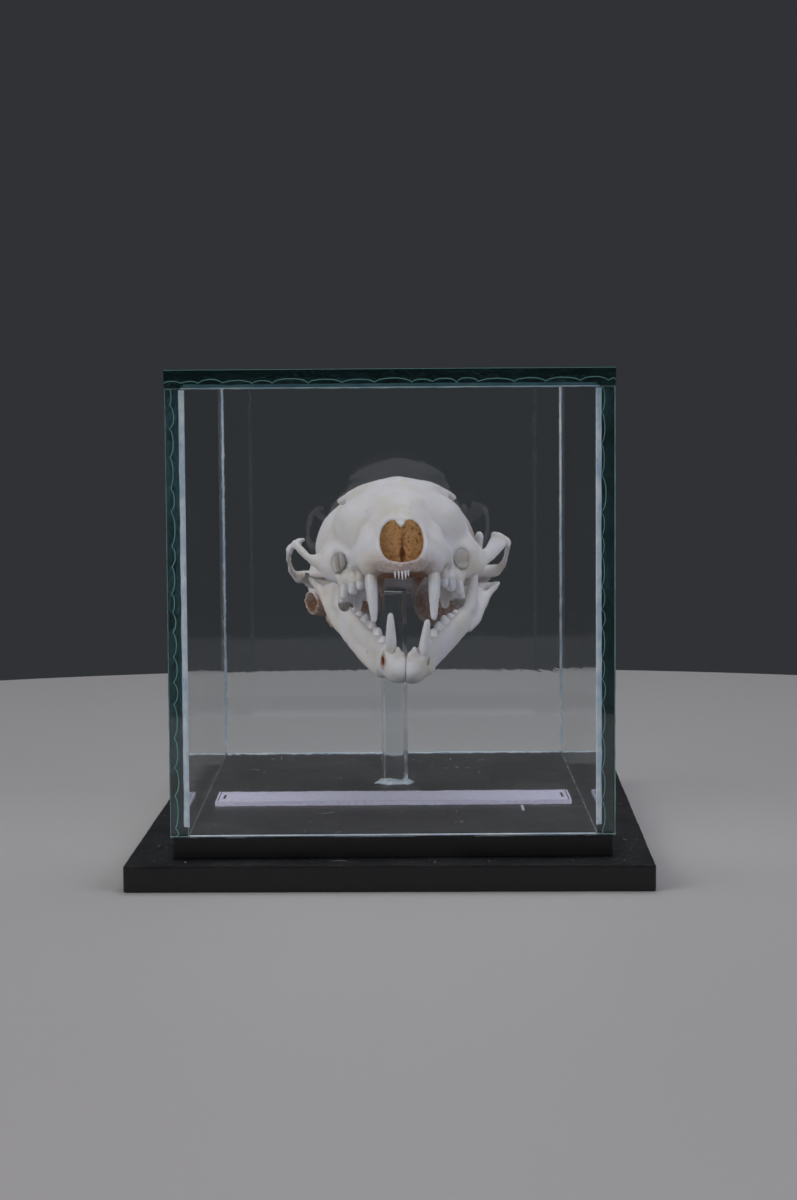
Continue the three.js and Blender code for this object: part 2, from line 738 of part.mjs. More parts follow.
function jawHalf(canine, lowerEdge) {
  const body = limb(
    [
      [9.6, 1, -2, 0.4, 0.5],
      [9.4, -1.2, -1.4, 0.55, 1],
      [9, -3.8, -0.7, 0.6, 1.55],
      [8.15, -7, -0.35, 0.75, 1.65],
      [7, -10.5, -0.3, 0.85, 1.65],
      [5.3, -15, -0.35, 0.9, 1.75],
      [3.6, -19, -0.4, 0.95, 1.85],
      [2.4, -22.2, -0.2, 1.05, 1.85],
      [1.2, -24.6, 0.15, 1.6, 1.95],
      [0.75, -25.8, 0.4, 1.7, 1.85],
      [0.5, -26.8, 0.7, 1.45, 1.35],
    ],
    { steps: 20, sides: 12, ...UPRIGHT },
  );
  const branch = limb(
    [
      [8.3, -6.2, -0.2, 0.6, 3.2],
      [8.5, -5.2, 2, 0.5, 3],
      [8.75, -4.8, 4.4, 0.45, 2.4],
      [8.9, -4.7, 7, 0.45, 1.5],
      [8.95, -4.95, 8.8, 0.45, 0.85],
      [8.95, -5, 9.7, 0.3, 0.4],
    ],
    { steps: 10, sides: 12, up: [0, -1, 0] },
  );
  const frontEdge = limb(
    [
      [7.3, -9.4, 0.6, 0.6, 0.65],
      [8, -7.9, 3.4, 0.47, 0.55],
      [8.6, -6.4, 6.6, 0.46, 0.5],
      [8.95, -5.3, 9.1, 0.44, 0.44],
    ],
    { steps: 6, sides: 8, up: [0, -1, 0] },
  );
  const jointNeck = limb(
    [
      [9.6, -0.4, -0.2, 0.75, 0.75],
      [9.2, -2, -0.2, 0.65, 1.25],
      [8.8, -4.2, -0.2, 0.6, 1.65],
    ],
    { steps: 4, sides: 8, ...UPRIGHT },
  );
  const outerFlange = limb(
    [
      [11.4, -0.4, 0.6, 0.4, 0.36],
      [10.5, -2, 0.25, 0.5, 0.65],
      [9.7, -4.5, -0.3, 0.5, 0.85],
      [9.1, -7, -0.8, 0.5, 0.75],
      [8.1, -9.2, -1.2, 0.4, 0.6],
    ],
    { steps: 8, sides: 8, ...UPRIGHT },
  );
  const canineBone = limb(
    [
      [1.95, -25.1, 2, 0.85, 1.1],
      [2.05, -24.4, 0.6, 0.95, 1.35],
      [2.6, -22.4, -0.3, 0.9, 1.35],
    ],
    { steps: 5, sides: 10, up: [0, 1, 0] },
  );
  const toothLedge = limb(
    [
      [2.2, -22.8, 1.2, 0.75, 0.65],
      [3.35, -19, 0.8, 0.85, 0.75],
      [4.95, -14.5, 0.5, 0.9, 0.8],
      [6.5, -10, 0.4, 0.75, 0.75],
    ],
    { steps: 8, sides: 8, ...UPRIGHT },
  );
  const chinKnobs = [
    cusp([
      [0.42, -26.3, 1.4, 0.36, 0.42],
      [0.45, -26.4, 2.5, 0.28, 0.32],
      [0.45, -26.4, 2.8, 0.18, 0.2],
    ]),
    cusp([
      [0.95, -26, 1.8, 0.36, 0.44],
      [0.95, -26.1, 3.1, 0.26, 0.3],
      [0.95, -26.1, 3.4, 0.16, 0.18],
    ]),
  ];
  const whole = wasm.Manifold.union([
    body,
    branch,
    frontEdge,
    jointRoller(0),
    jointNeck,
    outerFlange,
    canineBone,
    toothLedge,
    ...chinKnobs,
    lowerCanine(canine),
    ...lowerEdge,
    ...teethOf(LOWER_TEETH),
  ]);
  const otherSide = box(6, 12, 12).translate(TOUCH_GAP / 2 - 3, -25, 0);
  return largestPiece(whole.subtract(solidFromGeometry(otherSide)));
}

// The right half's lower edge hangs a little lower and farther out.
const rightLowerEdge = limb(
  [
    [8.3, -8, -1.1, 0.5, 0.75],
    [7.1, -11.5, -1.5, 0.65, 0.9],
    [5.9, -15, -1.6, 0.7, 0.9],
    [4.3, -19, -1.7, 0.8, 0.9],
    [2.9, -22.4, -1.3, 0.9, 1],
  ],
  { steps: 8, sides: 8, ...UPRIGHT },
);

// Case, stand and label

// A flat plate with eased edges, lying on z = 0
function easedPlate(width, depth, height, ease) {
  const [w, d] = [width / 2 - ease, depth / 2 - ease];
  const outline = new THREE.Shape([
    new THREE.Vector2(-w, -d),
    new THREE.Vector2(w, -d),
    new THREE.Vector2(w, d),
    new THREE.Vector2(-w, d),
  ]);
  const plate = new THREE.ExtrudeGeometry(outline, {
    depth: height - 2 * ease,
    bevelThickness: ease,
    bevelSize: ease,
    bevelSegments: 2,
  });
  return plate.translate(0, 0, ease);
}

// A hollow-faced bead of glue along an inner corner, between the ends `from` and `to`. It reaches
// `size` into the case along each of the two directions.
function glueBead(from, to, size, directionA, directionB) {
  const a = new THREE.Vector3(...directionA).multiplyScalar(size);
  const b = new THREE.Vector3(...directionB).multiplyScalar(size);
  const hollow = 0.42;
  const rings = [from, to].map((end) => {
    const corner = new THREE.Vector3(...end);
    return [
      corner.clone(),
      corner.clone().add(a),
      corner.clone().addScaledVector(a, hollow).addScaledVector(b, hollow),
      corner.clone().add(b),
    ];
  });
  return geometryOf(solidFromRings(rings));
}

const MATERIALS = {
  bone: { color: 0xe9e0cc, roughness: 0.62 },
  glass: { color: 0xdfeeea, roughness: 0.05, transparent: true, opacity: 0.3 },
  acrylic: { color: 0xe6ecf0, roughness: 0.08, transparent: true, opacity: 0.4 },
  glue: { color: 0xb9c6cc, roughness: 0.3 },
  black: { color: 0x111213, roughness: 0.7 },
  paper: { color: 0xe8e6ea, roughness: 0.8 },
};

const specimen = new THREE.Group();

function add(name, geometry, material) {
  const mesh = new THREE.Mesh(geometry, new THREE.MeshStandardMaterial(MATERIALS[material]));
  mesh.name = name;
  specimen.add(mesh);
  return mesh;
}

const basePlate = add(
  "base_plate",
  easedPlate(BASE.width, BASE.depth, BASE.height, BASE.edge),
  "black",
);
basePlate.rotation.z = radians(BASE.turn);

const plinthSize = [CASE_WIDTH - 2 * PLINTH.inset, CASE_DEPTH - 2 * PLINTH.inset];
add("plinth", box(...plinthSize, PLINTH.height), "black").position.set(
  CASE_SHIFT_X,
  0,
  BASE.height + PLINTH.height / 2,
);

const wallZ = FLOOR_Z + WALL_HEIGHT / 2;
const paneY = CASE_DEPTH / 2 - GLASS / 2;
add("case_front", box(CASE_WIDTH, GLASS, WALL_HEIGHT), "glass").position.set(
  CASE_SHIFT_X,
  -paneY,
  wallZ,
);
add("case_back", box(CASE_WIDTH, GLASS, WALL_HEIGHT), "glass").position.set(
  CASE_SHIFT_X,
  paneY,
  wallZ,
);
const sideDepth = CASE_DEPTH - 2 * (GLASS + GLUE_LINE);
for (const [name, side] of [
  ["case_left", -1],
  ["case_right", 1],
]) {
  add(name, box(GLASS, sideDepth, WALL_HEIGHT), "glass").position.set(
    CASE_SHIFT_X + side * (CASE_WIDTH / 2 - GLASS / 2),
    0,
    wallZ,
  );
}
add("case_top", box(CASE_WIDTH, CASE_DEPTH, GLASS), "glass").position.set(
  CASE_SHIFT_X,
  0,
  FLOOR_Z + WALL_HEIGHT + GLUE_LINE + GLASS / 2,
);

// Glue beads: one up each inner corner, and one along the floor under the back and front panes
const innerX = CASE_WIDTH / 2 - GLASS - BEAD_GAP;
const innerY = CASE_DEPTH / 2 - GLASS - BEAD_GAP;
const beadFoot = FLOOR_Z + BEAD_FLOOR + BEAD_GAP * 2;
const beadHead = FLOOR_Z + WALL_HEIGHT - BEAD_GAP;
for (const [name, x, y, size] of [
  ["bead_front_left", -1, -1, BEAD_FRONT],
  ["bead_front_right", 1, -1, BEAD_FRONT],
  ["bead_back_left", -1, 1, BEAD_BACK],
  ["bead_back_right", 1, 1, BEAD_BACK],
]) {
  const corner = (z) => [CASE_SHIFT_X + x * innerX, y * innerY, z];
  add(name, glueBead(corner(beadFoot), corner(beadHead), size, [-x, 0, 0], [0, -y, 0]), "glue");
}
for (const [name, y] of [
  ["bead_floor_front", -1],
  ["bead_floor_back", 1],
]) {
  const corner = (x) => [CASE_SHIFT_X + x * innerX, y * innerY, FLOOR_Z + BEAD_GAP];
  add(name, glueBead(corner(-1), corner(1), BEAD_FLOOR, [0, 0, 1], [0, -y, 0]), "glue");
}

add("label", box(LABEL.width, LABEL.depth, LABEL.thick), "paper").position.set(
  CASE_SHIFT_X,
  LABEL.y,
  FLOOR_Z + LABEL.thick / 2,
);

// Skull and jaw in their pose

add("cranium", geometryOf(cranium), "bone").applyMatrix4(poseMatrix(SKULL_AT, SKULL_TILT));
for (const [name, solid] of [
  ["mandible_left", jawHalf(LOWER_CANINE.left, [])],
  ["mandible_right", mirrored(jawHalf(LOWER_CANINE.right, [rightLowerEdge]))],
]) {
  add(name, geometryOf(solid), "bone").applyMatrix4(poseMatrix(JAW_AT, JAW_TILT));
}

// The rod stands on the case floor and stops just under the skull's base, with glue around its foot.
const rod = add("mounting_rod", box(ROD.side, ROD.side, ROD.top - FLOOR_Z), "acrylic");
rod.position.set(ROD.x, ROD.y, (ROD.top + FLOOR_Z) / 2);
rod.rotation.z = radians(ROD.turn);

const socketSide = ROD.side + 2 * FOOT.gap;
const footRing = ellipsoid([0, 0, 0], [FOOT.radius, FOOT.radius * FOOT.squash, FOOT.height], 24)
  .subtract(solidFromGeometry(box(socketSide, socketSide, 3 * FOOT.height)))
  .subtract(solidFromGeometry(box(20, 20, 10).translate(0, 0, -5)));
const rodFoot = add("rod_foot", geometryOf(largestPiece(footRing)), "glue");
rodFoot.position.set(ROD.x, ROD.y, FLOOR_Z);
rodFoot.rotation.z = radians(ROD.turn);

export default specimen;
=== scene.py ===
import bpy
import bmesh
import math
import numpy as np
import openvdb
from mathutils import Euler, Matrix, Vector


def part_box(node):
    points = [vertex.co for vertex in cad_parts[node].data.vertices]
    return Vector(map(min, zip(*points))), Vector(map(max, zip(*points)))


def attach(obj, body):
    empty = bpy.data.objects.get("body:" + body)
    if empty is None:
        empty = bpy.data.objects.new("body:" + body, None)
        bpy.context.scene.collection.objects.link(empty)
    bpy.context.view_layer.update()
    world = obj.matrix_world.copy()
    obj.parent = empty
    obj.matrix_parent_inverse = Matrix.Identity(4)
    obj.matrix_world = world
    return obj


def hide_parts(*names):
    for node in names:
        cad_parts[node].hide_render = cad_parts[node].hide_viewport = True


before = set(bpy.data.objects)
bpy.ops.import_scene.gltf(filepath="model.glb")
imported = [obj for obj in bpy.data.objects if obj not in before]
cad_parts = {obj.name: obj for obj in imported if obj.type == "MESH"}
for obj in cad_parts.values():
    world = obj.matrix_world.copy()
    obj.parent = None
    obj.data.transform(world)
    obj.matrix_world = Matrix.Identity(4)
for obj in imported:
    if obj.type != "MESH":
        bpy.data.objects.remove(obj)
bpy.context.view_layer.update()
scene = bpy.context.scene
mm = 0.001

# Lengths in the dictionaries below are millimetres in the part's frame: +Z up, the skull faces -Y.


def newObject(name, data):
    made = bpy.data.objects.new(name, data)
    scene.collection.objects.link(made)
    return made


# Camera, at the photograph's angle

cameraSet = {
    "place": (0.45, -327.6, 56.0),
    "lookDown": 4.68,
    "roll": 0.4,
    "lens": 79.2,  # 2640 px over the picture's 1200 px, on a 36 mm sensor
}

cameraData = bpy.data.cameras.new("photoCamera")
cameraData.lens = cameraSet["lens"]
cameraData.sensor_width = 36
cameraData.clip_start = 0.01
camera = newObject("photoCamera", cameraData)
camera.matrix_world = (
    Matrix.Translation(Vector(cameraSet["place"]) * mm)
    @ Matrix.Rotation(math.radians(90 - cameraSet["lookDown"]), 4, "X")
    @ Matrix.Rotation(math.radians(-cameraSet["roll"]), 4, "Z")
)
scene.camera = camera


# Materials

def linear(hexColour):
    parts = [int(hexColour[i : i + 2], 16) / 255 for i in (1, 3, 5)]
    return tuple(c / 12.92 if c <= 0.04045 else ((c + 0.055) / 1.055) ** 2.4 for c in parts) + (1.0,)


# One node with its settings. A socket is given a value, another node's output or a whole node,
# which stands for the first of its outputs that is in use. A list links several to one socket.
def addNode(tree, kind, sockets=None, **settings):
    node = tree.nodes.new(kind)
    for name, value in settings.items():
        setattr(node, name, value)
    for name, value in (sockets or {}).items():
        for given in value if isinstance(value, list) else [value]:
            if isinstance(given, bpy.types.Node):
                given = next(output for output in given.outputs if output.enabled)
            if isinstance(given, bpy.types.NodeSocket):
                tree.links.new(given, node.inputs[name])
            else:
                node.inputs[name].default_value = given
    return node


# An empty material, its tree and the place on the piece in object coordinates
def newMaterial(name):
    material = bpy.data.materials.new(name)
    material.use_nodes = True
    tree = material.node_tree
    tree.nodes.clear()
    return material, tree, addNode(tree, "ShaderNodeTexCoord").outputs["Object"]


def finished(material, shader):
    addNode(material.node_tree, "ShaderNodeOutputMaterial", {"Surface": shader})
    return material


# Bleached compact bone: chalky white with cream patches, a little waxy because light soaks in, with painted
# shade in the hollows and pits, brown where tissue stained it, brown painted shade on the underside behind
# the palate, between the cheek teeth and in holes too small to model, and pores and hairline cracks too small
# to count.
boneLook = {
    "clean": "#efecf0",
    "cream": "#e4ddd0",
    "recess": "#b3a591",
    "stain": "#9c6226",
    "patchSize": 5.0,
    "poreSize": 0.35,  # real pores are under 0.1 mm; drawn coarser so that they show
    "pitSize": 1.3,  # distance between the wider vessel pits
    "crackSize": 6.0,
}


def boneMaterial(name, look):
    material, tree, where = newMaterial(name)
    patches = addNode(tree, "ShaderNodeTexNoise",
                      {"Vector": where, "Scale": 1000 / look["patchSize"], "Detail": 5.0, "Roughness": 0.6})
    patchMask = addNode(tree, "ShaderNodeMapRange", {"Value": patches, "From Min": 0.42, "From Max": 0.68})
    grain = addNode(tree, "ShaderNodeTexNoise",
                    {"Vector": where, "Scale": 1000 / look["poreSize"], "Detail": 3.0, "Roughness": 0.55})
    # painted shade in the hollows and pits
    recess = addNode(tree, "ShaderNodeAttribute", attribute_name="recess").outputs["Fac"]
    # brown stains, and brown painted shade on the underside, between the cheek teeth and in small holes
    stain = addNode(tree, "ShaderNodeAttribute", attribute_name="stain").outputs["Fac"]
    body = addNode(tree, "ShaderNodeMix",
                   {0: patchMask, 6: linear(look["clean"]), 7: linear(look["cream"])}, data_type="RGBA")
    shaded = addNode(tree, "ShaderNodeMix", {0: recess, 6: body, 7: linear(look["recess"])},
                     data_type="RGBA")
    blotch = addNode(tree, "ShaderNodeMath", {0: stain, 1: grain}, operation="MULTIPLY")
    stainAndShadeMask = addNode(tree, "ShaderNodeMapRange", {"Value": blotch, "From Min": 0.02, "From Max": 0.55})
    coloured = addNode(tree, "ShaderNodeMix", {0: stainAndShadeMask, 6: shaded, 7: linear(look["stain"])},
                       data_type="RGBA")
    cracks = addNode(tree, "ShaderNodeTexVoronoi",
                     {"Vector": where, "Scale": 1000 / look["crackSize"], "Randomness": 1.0},
                     feature="DISTANCE_TO_EDGE")
    crackLine = addNode(tree, "ShaderNodeMapRange", {"Value": cracks, "From Min": 0.0, "From Max": 0.012})
    pits = addNode(tree, "ShaderNodeTexVoronoi",
                   {"Vector": where, "Scale": 1000 / look["pitSize"], "Randomness": 1.0})
    pitDepth = addNode(tree, "ShaderNodeMapRange", {"Value": pits, "From Min": 0.05, "From Max": 0.16})
    # painted shade in the pits where the patches are cream, faded out where they are clean
    pitShade = addNode(tree, "ShaderNodeMapRange", {"Value": pitDepth, "To Min": 0.7, "To Max": 0.0})
    pitShadeMask = addNode(tree, "ShaderNodeMath", {0: pitShade, 1: patchMask}, operation="MULTIPLY")
    coloured = addNode(tree, "ShaderNodeMix", {0: pitShadeMask, 6: coloured, 7: linear(look["recess"])},
                       data_type="RGBA")
    fine = addNode(tree, "ShaderNodeMath", {0: crackLine, 1: 0.2, 2: grain}, operation="MULTIPLY_ADD")
    relief = addNode(tree, "ShaderNodeMath", {0: pitDepth, 1: 0.6, 2: fine}, operation="MULTIPLY_ADD")
    bump = addNode(tree, "ShaderNodeBump", {"Height": relief, "Strength": 0.6, "Distance": 0.00008})
    roughness = addNode(tree, "ShaderNodeMapRange", {"Value": patches, "To Min": 0.42, "To Max": 0.62})
    shader = addNode(tree, "ShaderNodeBsdfPrincipled",
                     {"Base Color": coloured, "Roughness": roughness, "Normal": bump, "IOR": 1.5,
                      "Subsurface Weight": 0.25, "Subsurface Radius": (0.9, 0.7, 0.5),
                      "Subsurface Scale": 0.0008})
    return finished(material, shader)


boneMat = boneMaterial("bleachedBone", boneLook)


# Tooth enamel: whiter and glossier than the bone, ivory at the neck, with faint upright lines.
enamelLook = {"crown": "#f1f0f4", "neck": "#e6dfd0", "worn": "#8d8a86", "lineSize": 0.5}


def enamelMaterial(name, look):
    material, tree, where = newMaterial(name)
    neck = addNode(tree, "ShaderNodeAttribute", attribute_name="neck").outputs["Fac"]
    # the carnassials' underside is painted grey
    worn = addNode(tree, "ShaderNodeAttribute", attribute_name="worn").outputs["Fac"]
    stretched = addNode(tree, "ShaderNodeMapping", {"Vector": where, "Scale": (1.0, 1.0, 0.12)})
    lines = addNode(tree, "ShaderNodeTexNoise",
                    {"Vector": stretched, "Scale": 1000 / look["lineSize"], "Detail": 3.0})
    colour = addNode(tree, "ShaderNodeMix", {0: neck, 6: linear(look["crown"]), 7: linear(look["neck"])},
                     data_type="RGBA")
    colour = addNode(tree, "ShaderNodeMix", {0: worn, 6: colour, 7: linear(look["worn"])}, data_type="RGBA")
    bump = addNode(tree, "ShaderNodeBump", {"Height": lines, "Strength": 0.25, "Distance": 0.00005})
    roughness = addNode(tree, "ShaderNodeMapRange", {"Value": lines, "To Min": 0.18, "To Max": 0.36})
    shader = addNode(tree, "ShaderNodeBsdfPrincipled",
                     {"Base Color": colour, "Roughness": roughness, "Normal": bump, "IOR": 1.62,
                      "Subsurface Weight": 0.3, "Subsurface Radius": (0.8, 0.7, 0.55),
                      "Subsurface Scale": 0.0006})
    return finished(material, shader)


enamelMat = enamelMaterial("toothEnamel", enamelLook)


# Scrolled nose bone, dried: golden brown and spongy, with painted shade in its folds, along the septum and in
# the hole low in the middle.
spongeLook = {"light": "#d8a56a", "dark": "#8a5626", "grainSize": 0.16}


def spongeMaterial(name, look):
    material, tree, where = newMaterial(name)
    # painted shade in the folds, along the septum and in the low hole, added to the grain
    recess = addNode(tree, "ShaderNodeAttribute", attribute_name="recess").outputs["Fac"]
    grain = addNode(tree, "ShaderNodeTexNoise",
                    {"Vector": where, "Scale": 1000 / look["grainSize"], "Detail": 4.0, "Roughness": 0.7})
    both = addNode(tree, "ShaderNodeMath", {0: grain, 1: recess}, operation="ADD")
    mask = addNode(tree, "ShaderNodeMapRange", {"Value": both, "From Min": 0.42, "From Max": 0.9})
    colour = addNode(tree, "ShaderNodeMix", {0: mask, 6: linear(look["light"]), 7: linear(look["dark"])},
                     data_type="RGBA")
    bump = addNode(tree, "ShaderNodeBump", {"Height": grain, "Strength": 0.8, "Distance": 0.0001})
    shader = addNode(tree, "ShaderNodeBsdfPrincipled",
                     {"Base Color": colour, "Roughness": 0.75, "Normal": bump, "Subsurface Weight": 0.2,
                      "Subsurface Radius": (1.0, 0.5, 0.2), "Subsurface Scale": 0.0005})
    return finished(material, shader)


spongeMat = spongeMaterial("driedNoseBone", spongeLook)
print("materials for the bones made")


# Solids as fields: a grid of points in millimetres that holds the distance to the surface,
# negative inside. Shapes are joined or cut softly, then the zero level is made a mesh.

def newField(low, high, step):
    axes = [np.arange(a, b + step, step, dtype=np.float32) for a, b in zip(low, high)]
    return {"low": np.array(low), "step": step, "axes": axes,
            "values": np.full([len(a) for a in axes], 3.0, np.float32)}


# The grid's x, y and z, each along its own axis
def gridOf(field):
    x, y, z = field["axes"]
    return x[:, None, None], y[None, :, None], z[None, None, :]


def blockOf(field, low, high):
    spans = []
    for axis, a, b in zip(field["axes"], low, high):
        first, last = np.searchsorted(axis, [a, b])
        spans.append(slice(int(first), max(int(last), int(first) + 1)))
    x, y, z = (axis[span] for axis, span in zip(field["axes"], spans))
    return tuple(spans), x[:, None, None], y[None, :, None], z[None, None, :]


def join(field, spans, shape, soft):
    now = field["values"][spans]
    near = np.maximum(soft - np.abs(now - shape), 0) / soft
    field["values"][spans] = np.minimum(now, shape) - near * near * (soft / 4)


def cut(field, spans, shape, soft):
    now = field["values"][spans]
    near = np.maximum(soft - np.abs(now + shape), 0) / soft
    field["values"][spans] = np.maximum(now, -shape) + near * near * (soft / 4)


# A rounded lump whose half sizes differ to the front, back, bottom and top
def lump(field, at, side, front, back, down, up, power=2.0, soft=1.6, mirror=False, into=join):
    reachOut = soft + 0.8
    for sign in (1, -1) if mirror else (1,):
        middle = (at[0] * sign, at[1], at[2])
        low = (middle[0] - side - reachOut, middle[1] - front - reachOut, middle[2] - down - reachOut)
        high = (middle[0] + side + reachOut, middle[1] + back + reachOut, middle[2] + up + reachOut)
        spans, x, y, z = blockOf(field, low, high)
        dx, dy, dz = x - middle[0], y - middle[1], z - middle[2]
        share = ((np.abs(dx) / side) ** power
                 + (np.abs(dy) / np.where(dy < 0, front, back)) ** power
                 + (np.abs(dz) / np.where(dz < 0, down, up)) ** power)
        reach = np.maximum(share, 1e-9) ** (1 / power)
        away = np.sqrt(dx * dx + dy * dy + dz * dz)
        into(field, spans, (away * (1 - 1 / reach)).astype(np.float32), soft)


# Points along a smooth path through rows of numbers
def smoothRows(rows, steps):
    rows = np.array(rows, dtype=float)
    padded = np.vstack([2 * rows[0] - rows[1], rows, 2 * rows[-1] - rows[-2]])
    result = []
    for i in range(len(rows) - 1):
        a, b, c, d = padded[i : i + 4]
        for t in np.arange(steps) / steps:
            result.append(0.5 * (2 * b + (c - a) * t + (2 * a - 5 * b + 4 * c - d) * t * t
                                 + (3 * b - a - 3 * c + d) * t ** 3))
    result.append(rows[-1])
    return np.array(result)


# A limb of bone along a path. Each stop is x, y, z, half width, half height, and the height
# follows `up`.
def limb(field, stops, up=(0, 0, 1), steps=5, soft=0.6, mirror=False, into=join):
    for sign in (1, -1) if mirror else (1,):
        rows = smoothRows(stops, steps)
        rows[:, 0] *= sign
        rows[:, 3:] = np.maximum(rows[:, 3:], 0.05)
        points, sizes = rows[:, :3], rows[:, 3:]
        reachOut = sizes.max() + soft + 0.6
        spans = blockOf(field, points.min(0) - reachOut, points.max(0) + reachOut)[0]
        first = [s.start for s in spans]
        shape = np.full([s.stop - s.start for s in spans], 3.0, np.float32)
        for a, b, sizeA, sizeB in zip(points, points[1:], sizes, sizes[1:]):
            along = b - a
            length = np.linalg.norm(along)
            if length < 1e-6:
                continue
            along /= length
            side = np.cross(along, up)
            side /= max(np.linalg.norm(side), 1e-6)
            tall = np.cross(side, along)
            pad = max(sizeA.max(), sizeB.max()) + soft + 0.6
            inner, px, py, pz = blockOf(field, np.minimum(a, b) - pad, np.maximum(a, b) + pad)
            inner = tuple(slice(max(s.start - f, 0), s.stop - f) for s, f in zip(inner, first))
            dx, dy, dz = px - a[0], py - a[1], pz - a[2]
            t = dx * along[0] + dy * along[1] + dz * along[2]
            clamped = np.clip(t, 0, length)
            beyond = t - clamped
            share = clamped / length
            width = sizeA[0] + (sizeB[0] - sizeA[0]) * share
            height = sizeA[1] + (sizeB[1] - sizeA[1]) * share
            across = dx * side[0] + dy * side[1] + dz * side[2]
            above = dx * tall[0] + dy * tall[1] + dz * tall[2]
            least = np.minimum(width, height)
            reach = np.sqrt((across / width) ** 2 + (above / height) ** 2 + (beyond / least) ** 2)
            part = shape[inner]
            np.minimum(part, ((reach - 1) * least).astype(np.float32), out=part)
        into(field, spans, shape, soft)


# Uneven growth: a slow ripple of the surface, always the same
def ripple(field, amount, wave):
    x, y, z = gridOf(field)
    turn = 2 * math.pi / wave
    field["values"] += amount * (np.sin(x * turn + 1.3 * np.sin(y * turn * 0.61))
                                 * np.sin(y * turn * 0.83 + 1.1 * np.sin(z * turn * 0.7))
                                 * np.sin(z * turn * 0.91 + 0.9)).astype(np.float32)


# The field's value at each point, blended between the eight grid corners around it
def valueAt(field, points):
    values = field["values"]
    at = np.clip((points - field["low"]) / field["step"], 0, np.array(values.shape) - 1.001)
    corner = at.astype(int)
    share = at - corner
    total = np.zeros(len(points))
    for step in np.ndindex(2, 2, 2):
        weight = np.prod(np.where(step, share, 1 - share), axis=1)
        i, j, k = (corner + np.array(step)).T
        total += weight * values[i, j, k]
    return total


# How hollow the surface is around each point: 0 on flats and ridges, 1 in deep corners
def hollowness(field, points, reach, gain):
    ways = [(1, 0, 0), (-1, 0, 0), (0, 1, 0), (0, -1, 0), (0, 0, 1), (0, 0, -1)]
    total = sum(valueAt(field, points + np.array(way) * reach) for way in ways)
    return np.clip(-total / len(ways) * gain, 0, 1)


# A mesh object from points in millimetres in its own frame and the frame's place in the part
def meshObject(name, points, faces, pose, material, marks=None):
    placed = points @ np.array(pose.to_3x3()).T + np.array(pose.translation)
    mesh = bpy.data.meshes.new(name)
    sides = faces.shape[1]
    mesh.vertices.add(len(placed))
    mesh.vertices.foreach_set("co", (placed * mm).astype(np.float32).ravel())
    mesh.loops.add(faces.size)
    mesh.loops.foreach_set("vertex_index", faces.astype(np.int32).ravel())
    mesh.polygons.add(len(faces))
    mesh.polygons.foreach_set("loop_start", np.arange(0, faces.size, sides, dtype=np.int32))
    mesh.polygons.foreach_set("use_smooth", np.ones(len(faces), dtype=bool))
    mesh.update(calc_edges=True)
    mesh.validate()
    for markName, values in (marks or {}).items():
        mark = mesh.attributes.new(markName, "FLOAT", "POINT")
        mark.data.foreach_set("value", values.astype(np.float32))
    mesh.materials.append(material)
    return newObject(name, mesh)


# Faces of a surface made from a field point outwards if its volume comes out positive.
def facingOut(points, faces):
    a, b, c = points[faces[:, 0]], points[faces[:, 1]], points[faces[:, 2]]
    volume = np.einsum("ij,ij->i", a, np.cross(b, c)).sum()
    return faces if volume > 0 else faces[:, ::-1]


# Only the largest island of the mesh stays.
def largestIsland(points, faces):
    label = np.arange(len(points))
    while True:
        lowest = label[faces].min(1)
        before = label.copy()
        for corner in range(faces.shape[1]):
            np.minimum.at(label, faces[:, corner], lowest)
        label = label[label]
        if np.array_equal(before, label):
            break
    names, counts = np.unique(label, return_counts=True)
    keep = label == names[counts.argmax()]
    renumber = np.cumsum(keep) - 1
    return points[keep], renumber[faces[keep[faces[:, 0]]]]


# The field's zero level as points and faces
def surfaceOf(field):
    grid = openvdb.FloatGrid(3.0)
    grid.copyFromArray(np.ascontiguousarray(field["values"]))
    points, quads = grid.convertToQuads(isovalue=0.0)
    points = points * field["step"] + field["low"]
    return largestIsland(points, facingOut(points, quads))


def poseOf(at, pitch, yaw, roll):
    turned = Euler((math.radians(pitch), math.radians(roll), math.radians(yaw)), "XYZ").to_matrix()
    return Matrix.Translation(Vector(at)) @ turned.to_4x4()


def place(piece, slotName, *nodeNames):
    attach(piece, "root")
    if nodeNames:
        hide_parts(*nodeNames)


# A soft spot of colour: 1 at its middle, 0 past its radius
def spot(points, at, radius, stretch=(1, 1, 1)):
    away = np.linalg.norm((points - np.array(at)) / np.array(stretch), axis=1)
    return np.clip(1.3 - away / radius, 0, 1)


# The strongest of the listed marks at each point
def strongestMark(points, marks):
    return np.max([strength * spot(points, at, radius, stretch) for at, radius, stretch, strength in marks],
                  axis=0)


# Cranium. Its frame starts at the bone edge between the first upper incisors; y runs backwards.

craniumPose = poseOf((1.02, -24.0, 34.3), pitch=-9.3, yaw=1.5, roll=-1.4)
jawPose = poseOf((1.15, 4.4, 30.4), pitch=17.8, yaw=0.7, roll=1.8)

craniumSize = {"low": (-15.6, -2.0, -6.5), "high": (15.6, 48.6, 16.2), "step": 0.22}

